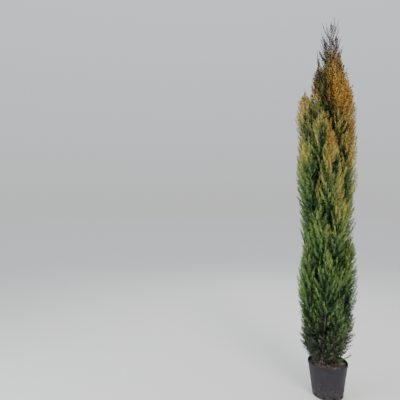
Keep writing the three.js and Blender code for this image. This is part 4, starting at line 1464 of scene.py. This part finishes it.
class CYPRESS_OT_soil(Operator):
    """Fills the container with lumpy soil, with crumbs and dry sprays on it"""

    bl_idname = "cypress.soil"
    bl_label = "Add the soil"

    sides = 96
    rings = 34
    seed = 41
    # The crumbs and dry sprays: how many, in how many shapes, how far from the wall, and in what sizes.
    crumbs, crumb_shapes, crumb_margin = 420, 5, 0.012
    crumb_size, crumb_more = 0.0022, 0.0075
    litter, litter_shapes, litter_margin = 60, 3, 0.03
    litter_size, litter_more = 0.018, 0.02
    # How far the crumbs stand out, as a share of their size, and how far over the soil and how steep at most
    # the dry sprays lie. The seeds are those of how each is rolled.
    crumb_lift, crumb_roll_seed = 0.3, 3
    litter_lift, litter_tilt, litter_roll_seed = 0.003, 0.1, 4
    # A crumb's bumps, how flat it is, and how much paler than dry soil it is at its palest.
    bump_height, bump_scale = 0.45, 1.1
    crumb_flatness = 0.72
    crumb_paleness = 1.7
    # How far the top lies under the solid's, and its lumps, its swells and the mound at the trunk. The lumps'
    # octaves: by how much each is lower and finer than the one before, and how many there are.
    sunk = 0.002
    lump_height, lump_scale = 0.0042, 34
    lump_octaves = (0.6, 2.1, 5)
    swell_height, swell_scale = 0.003, 11
    mound_height, mound_radius = 0.004, 0.055
    # The foot of the root ball: its radius and height.
    ball_foot = (0.13, 0.0095)

    def execute(self, context):
        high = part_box("potting_soil")[1]
        self.edge, self.top = high.x, high.z
        paint = soil_paint("potting_soil", colour_of("damp_soil"), colour_of("dry_soil"))
        placed(shown("soil_ball", self.ball(), paint), ["potting_soil"])
        self.scatter = scatter_tree()
        rng = np.random.default_rng(self.seed)
        self.add_crumbs(rng)
        self.add_litter(rng)
        return {"FINISHED"}

    def add_crumbs(self, rng):
        points = self.strewn(self.crumbs, self.crumb_margin, rng)
        size = self.crumb_size + self.crumb_more * rng.random(self.crumbs) ** 3
        points[:, 2] += self.crumb_lift * size
        heading = unit(rng.standard_normal((self.crumbs, 3)))
        shapes = [self.crumb(i) for i in range(self.crumb_shapes)]
        paint = soil_paint("soil_crumbs", colour_of("dry_soil"), colour_of("dry_soil", self.crumb_paleness))
        self.scattered("soil_crumbs", points, heading, size, shapes, paint, self.crumb_roll_seed, rng)

    def add_litter(self, rng):
        """Dry sprays that have fallen on the soil."""
        points = self.strewn(self.litter, self.litter_margin, rng)
        points[:, 2] += self.litter_lift
        turn = 2 * np.pi * rng.random(self.litter)
        heading = unit(round_z(turn, height=self.litter_tilt * rng.random(self.litter)))
        size = self.litter_size + self.litter_more * rng.random(self.litter)
        shapes = [spray_mesh(i, sizes().leaves, sizes().leaf_width) for i in range(self.litter_shapes)]
        paint = leaf_paint("litter", colour_of("litter"))
        self.scattered("soil_litter", points, heading, size, shapes, paint, self.litter_roll_seed, rng)

    def strewn(self, count, margin, rng):
        """Places at random on the soil."""
        radius = (self.edge - margin) * np.sqrt(rng.random(count))
        points = round_z(2 * np.pi * rng.random(count), radius)
        points[:, 2] = [self.surface(x, y) for x, y, _ in points]
        return points

    def scattered(self, name, points, heading, size, shapes, paint, seed, rng):
        kind = rng.integers(0, len(shapes), len(points))
        mesh = mesh_from("strewn", points, heading=heading, size=size, kind=kind)
        shapes = hidden_collection("strewn", shapes)
        placed(self.scatter.applied(name, mesh, paint, Shapes=shapes, Seed=seed))
        remove_collection(shapes)

    def crumb(self, variant):
        """A lumpy, flattened grain of unit radius."""
        shape = bmesh.new()
        bmesh.ops.create_icosphere(shape, subdivisions=1, radius=1)
        for corner in shape.verts:
            bump = noise.noise(corner.co * self.bump_scale + Vector((7 * variant, 0, 0)))
            corner.co *= 1 + self.bump_height * bump
            corner.co.z *= self.crumb_flatness
        mesh = bpy.data.meshes.new(f"crumb_{variant}")
        shape.to_mesh(mesh)
        shape.free()
        return mesh

    def surface(self, x, y):
        """The height of the soil: a low crown with lumps, a little lower at the wall."""
        fall = max(0, (math.hypot(x, y) - SOIL_FLAT_RADIUS) / (self.edge - SOIL_FLAT_RADIUS))
        base = self.top - self.sunk - SOIL_CROWN * fall
        lumps = self.lump_height * noise.fractal(Vector((x, y, 0.3)) * self.lump_scale, *self.lump_octaves)
        swell = self.swell_height * noise.noise(Vector((x, y, 4.0)) * self.swell_scale)
        from_foot = ((x - TRUNK_FOOT_X) ** 2 + y**2) / self.mound_radius**2
        return base + (lumps + swell) * (1 - 0.5 * fall) + self.mound_height * math.exp(-from_foot)

    def ball(self):
        """The lumpy top of the soil on the plain sides of the root ball."""
        sides = self.sides
        top = np.concatenate([ring(sides, self.edge * (i + 1) / self.rings) for i in range(self.rings)])
        corners = [(x, y, self.surface(x, y)) for x, y in [(0, 0), *top[:, :2]]]
        corners += [*ring(sides, self.edge, self.top - 2 * SOIL_CROWN), *ring(sides, *self.ball_foot)]

        def corner(row, side):
            return 1 + row * sides + side % sides

        faces = [(0, corner(0, side), corner(0, side + 1)) for side in range(sides)]
        for row in range(self.rings + 1):
            for side in range(sides):
                ends = corner(row + 1, side), corner(row + 1, side + 1)
                faces.append((corner(row, side), *ends, corner(row, side + 1)))
        faces.append(tuple(corner(self.rings + 1, side) for side in range(sides))[::-1])
        mesh = mesh_from("soil_ball", corners, faces)
        mesh.shade_smooth()
        return mesh


class CYPRESS_OT_wood(Operator):
    """Covers the trunk and the limbs in bark with its relief"""

    bl_idname = "cypress.wood"
    bl_label = "Build the trunk and limbs"

    trunk_rings = 240
    trunk_sides = 40
    limb_rings = 46
    limb_sides = 10
    trunk_grain = 85.0
    limb_grain = 140.0
    # How far over the soil's crown the trunk begins, and how crowded its rings are at the foot.
    trunk_seat = 0.0003
    foot_density = 1.2
    # The share of a limb that is covered: its tip is a twig.
    limb_covered = 0.97
    # How far the limbs' bark has turned from the twigs' brown to the trunk's grey, and how dark the rest is.
    limb_greyness = 0.45
    limb_shade = 0.8

    def execute(self, context):
        self.wood = wood_tree()
        bark = bark_paint("trunk_bark", colour_of("furrow"), colour_of("bark"), colour_of("weathered"))
        foot = SOIL_CROWN + self.trunk_seat
        height = foot + (TRUNK_HEIGHT - foot) * np.linspace(0, 1, self.trunk_rings) ** self.foot_density
        mesh = path_mesh("trunk", [trunk_point(height)], [trunk_radius(height)])
        self.add("trunk_bark", mesh, bark, self.trunk_sides, self.trunk_grain, ["trunk"])
        smooth = tuple(lerp(np.array(colour_of("twig")), np.array(colour_of("bark")), self.limb_greyness))
        furrow, weathered = (colour_of(name, self.limb_shade) for name in ("furrow", "weathered"))
        share = np.linspace(0, self.limb_covered, self.limb_rings)
        mesh = path_mesh("limbs", *zip(*((limb.point(share), limb.radius(share)) for limb in CROWN.limbs)))
        boughs = [name for name in frame["nodes"] if name.startswith("bough_")]
        young = bark_paint("limb_bark", furrow, smooth, weathered)
        self.add("limb_bark", mesh, young, self.limb_sides, self.limb_grain, boughs)
        return {"FINISHED"}

    def add(self, name, mesh, paint, sides, grain, nodes):
        relief = sizes().bark_relief
        placed(self.wood.applied(name, mesh, paint, Sides=sides, Relief=relief, Grain=grain), nodes)


@dataclass(frozen=True)
class Shoots:
    """A growth of branches straight from the trunk. Heights in metres from the soil."""

    name: str
    slot: str
    seed: int
    # How far the branches lean out, from the lowest to the highest, and how much of the way out they reach.
    openings: tuple
    spread: float
    # The spacing and length of the sprays, as shares of the plumes'.
    spacing: float
    length: float
    # Between which heights how many leave the trunk. Those of the tufts have places of their own.
    heights: tuple = ()
    count: int = 0
    crowded_foot: float = 1.0
    # The sprays' own seed, if any, how much darker they are painted, as shade, and how far out they end.
    spray_seed: int = 0
    darker: float = 0.0
    outermost: float = np.inf
    over_rim: bool = False
    # What the branches and the sprays keep within.
    within: object = within_crown
    sprays_within: object = within_crown


SHOOTS = (
    # The leafy shoots up the top of the trunk, and above them slender whips with sky between them.
    Shoots(
        "top", "foliage_crest", seed=31, spray_seed=32, heights=(1.95, 2.76), count=84, openings=(0.55, 0.42),
        spread=0.75, spacing=0.6**0.5, length=0.6,
    ),
    Shoots(
        "whips", "foliage_crest", seed=34, spray_seed=35, heights=(2.66, 2.97), count=20, darker=0.3,
        openings=(0.55, 0.42), spread=1.0, spacing=0.4**0.5, length=0.4,
        within=within_reach, sprays_within=within_reach,
    ),
    # The partly withered branches close to the trunk, painted darker as shade, with larger sprays.
    Shoots(
        "inner", "foliage_waist", seed=51, spray_seed=52, heights=(0.03, 2.5), count=290, crowded_foot=1.2,
        openings=(0.95, 0.6), spread=0.85, spacing=1.4, length=2.0, outermost=0.85, sprays_within=above_soil,
    ),
    # The shoots that fill the tufts out.
    Shoots(
        "tufts", "foliage_waist", seed=71, openings=(0.8, 0.72), spread=1.0, spacing=1.1, length=1.0,
        outermost=1.05,
    ),
    # The thin, dull growth at the foot of the crown, which hangs over the container's rim.
    Shoots(
        "foot", "foliage_skirt", seed=61, heights=(0.035, 0.3), count=110, crowded_foot=1.5,
        openings=(1.32, 0.95), spread=1.05, spacing=1.5, length=1.0, over_rim=True,
        within=within_reach, sprays_within=within_reach,
    ),
)


def grown_shoots(shoots):
    """The twigs and sprays of a growth from the trunk. The withered ones of the inner growth are apart."""
    s = sizes()
    rng = np.random.default_rng(shoots.seed)
    spray_rng = np.random.default_rng(shoots.spray_seed) if shoots.spray_seed else rng
    if shoots.heights:
        places = spiral_places(*shoots.heights, shoots.count, rng, shoots.crowded_foot)
    else:
        places = tuft_places(rng)
    branches = trunk_branches(places, shoots.openings, shoots.spread, rng, shoots.over_rim)
    sprays = grown_sprays(branches, shoots.spacing * s.spacing, shoots.length * s.spray_length, spray_rng)
    sprays.tones -= shoots.darker
    tips = sprays.tips()
    inside = shoots.sprays_within(tips) & above_soil(tips) & ~before_trunk(tips)
    sprays = sprays.only(inside & (CROWN.outerness(tips) < shoots.outermost))
    paths = cut_back(branches.paths, shoots.within)
    if shoots.name != "inner":
        return [Growth(shoots.name, shoots.slot, paths, sprays)]
    height = sprays.roots[:, 2] - SOIL_TOP
    # The inner growth is painted darker, as shade.
    sprays.tones -= at_height(height, INNER_SHADE)
    withered = rng.random(len(height)) < at_height(height, WITHERED_AT_HEIGHT)
    withered &= CROWN.depth_in(HOLLOWS, sprays.roots) < 0
    return [
        Growth("inner", shoots.slot, paths, sprays.only(~withered)),
        Growth("inner_dry", "foliage_low", [], sprays.only(withered), colour="dry"),
    ]


class CYPRESS_OT_foliage(Operator):
    """Grows the branches of each plume and those by the trunk, with the sprays of leaves on them"""

    bl_idname = "cypress.foliage"
    bl_label = "Grow the foliage"

    # How many shapes of sprays there are, and the seeds of which one each has and how it is rolled.
    variants = 6
    variant_seed = 77
    roll_seed = 5
    # How dark the twigs' furrows, their ridges and the rest are, by their colour.
    twig_shades = (0.5, 1, 1.3)
    twig_sides = 3
    twig_girth = 0.0017
    twig_tip_share = 0.45
    # The leader's single plume is one piece with the crest's.
    joined = {"leader": "crest"}
    # The narrow rings at the top have shorter sprays, and one of them more branches than the rule gives it.
    crowding = {"upper": 1.4}
    slimness = {"upper": 0.8, "crest": 0.36, "leader": 0.4}
    # The sprays of a plume that is slimmer than this reach less far out of its space. What it shares with its
    # neighbours goes this much further.
    full_girth = 0.1
    shared_room = 1.2
    # What is added to a limb's seed for its sprays, and to the count of sprays for their colours.
    spray_seed = 5000
    colour_seed = 9000

    def execute(self, context):
        s = sizes()
        self.wood, self.scatter = wood_tree(), scatter_tree()
        shapes = [spray_mesh(i, s.leaves, s.leaf_width) for i in range(self.variants)]
        self.shapes = hidden_collection("sprays", shapes)
        self.twig = bark_paint("twig_bark", *(colour_of("twig", amount) for amount in self.twig_shades))
        self.paints = {"dry": leaf_paint("dry", colour_of("dry"))}
        groups = {}
        for limb in CROWN.limbs:
            groups.setdefault(self.joined.get(limb.tier.name, limb.tier.name), []).append(limb)
        growths = [self.grown_tier(name, limbs) for name, limbs in groups.items()]
        growths += [growth for shoots in SHOOTS for growth in grown_shoots(shoots)]
        points = np.concatenate([growth.sprays.roots for growth in growths])
        light = light_at(points, np.concatenate([growth.sprays.sizes for growth in growths]))
        for growth in growths:
            own, light = np.split(light, [len(growth.sprays.sizes)])
            self.add(growth, own)
        remove_collection(self.shapes)
        return {"FINISHED"}

    def paint(self, hue, tone):
        name = f"{HUES[hue]}_{list(TONES)[tone]}"
        if name not in self.paints:
            # Each tone is a lit or shaded copy of the leaf colour, mixed towards the shade colour: painted
            # light and shade.
            full, shade = np.array(colour_of(HUES[hue])), np.array(colour_of("shade"))
            self.paints[name] = leaf_paint(name, tuple(lerp(full, shade, list(TONES.values())[tone])))
        return name

    def grown_tier(self, name, limbs):
        """The plumes of one ring, on their limbs."""
        s = sizes()
        paths, found = [], []
        for limb in limbs:
            branches = grown_branches(limb, s.finer * self.crowding.get(limb.tier.name, 1))
            branches.edges *= math.sqrt(min(1, limb.girth / self.full_girth))
            slim = self.slimness.get(limb.tier.name, 1)
            rng = np.random.default_rng(limb.seed + self.spray_seed)
            sprays = grown_sprays(branches, s.spacing * slim**0.5, s.spray_length * slim, rng)
            tips = sprays.tips()
            inside = CROWN.own_space(tips, limb, sprays.edges, self.shared_room * sprays.edges)
            found.append(sprays.only(inside & within_crown(tips) & ~before_trunk(tips)))
            paths += cut_back(branches.paths, within_crown)
        sprays = Sprays(*(np.concatenate([getattr(f, key) for f in found]) for key in vars(found[0])))
        return Growth(name, f"foliage_{name}", paths, sprays, tuple(f"plume_{limb.node}" for limb in limbs))

    def add(self, growth, light):
        """The twigs of some branches, and a piece of leaves for each colour and tone of painted light and
        shade.
        """
        if growth.paths:
            girth = self.twig_girth * np.linspace(1, self.twig_tip_share, BRANCH_STEPS + 1)
            mesh = path_mesh("twigs", growth.paths, [girth] * len(growth.paths))
            values = {"Sides": self.twig_sides, "Relief": 0.0, "Grain": 1.0}
            twigs = self.wood.applied(f"twigs_{growth.name}", mesh, self.twig, **values)
            placed(twigs, growth.nodes)
        if growth.colour:
            self.add_leaves(growth.name, growth, growth.sprays, growth.colour)
            return
        hue, tone = dealt_colours(growth.sprays, light, self.colour_seed + len(light))
        for h, t in sorted(set(zip(hue.tolist(), tone.tolist()))):
            colour = self.paint(h, t)
            sprays = growth.sprays.only((hue == h) & (tone == t))
            self.add_leaves(f"{growth.name}_{colour}", growth, sprays, colour)

    def add_leaves(self, name, growth, sprays, colour):
        kind = np.random.default_rng(self.variant_seed).integers(0, self.variants, len(sprays.sizes))
        mesh = mesh_from("sprays", sprays.roots, heading=sprays.headings, size=sprays.sizes, kind=kind)
        values = {"Shapes": self.shapes, "Seed": self.roll_seed}
        piece = self.scatter.applied(f"leaves_{name}", mesh, self.paints[colour], **values)
        placed(piece, growth.nodes)


class CYPRESS_PT_panel(Panel):
    """The cypress's sizes, colours and pieces"""

    bl_label = "Lemon cypress"
    bl_idname = "CYPRESS_PT_panel"
    bl_space_type = "VIEW_3D"
    bl_region_type = "UI"
    bl_category = "Cypress"

    def draw(self, context):
        layout = self.layout
        for operator in OPERATORS:
            layout.operator(operator.bl_idname)
        for group in (sizes(), colours()):
            box = layout.box()
            for name in group.bl_rna.properties.keys():
                if name not in ("rna_type", "name"):
                    box.prop(group, name)


OPERATORS = (
    CYPRESS_OT_stage,
    CYPRESS_OT_container,
    CYPRESS_OT_soil,
    CYPRESS_OT_wood,
    CYPRESS_OT_foliage,
)
CLASSES = (CypressSizes, CypressColours, *OPERATORS, CYPRESS_PT_panel)


def register():
    for cls in CLASSES:
        bpy.utils.register_class(cls)
    bpy.types.Scene.cypress_sizes = PointerProperty(type=CypressSizes)
    bpy.types.Scene.cypress_colours = PointerProperty(type=CypressColours)


def unregister():
    del bpy.types.Scene.cypress_colours
    del bpy.types.Scene.cypress_sizes
    for cls in reversed(CLASSES):
        bpy.utils.unregister_class(cls)


def main():
    register()
    for operator in OPERATORS:
        family, name = operator.bl_idname.split(".")
        getattr(getattr(bpy.ops, family), name)()


if __name__ == "__main__":
    main()
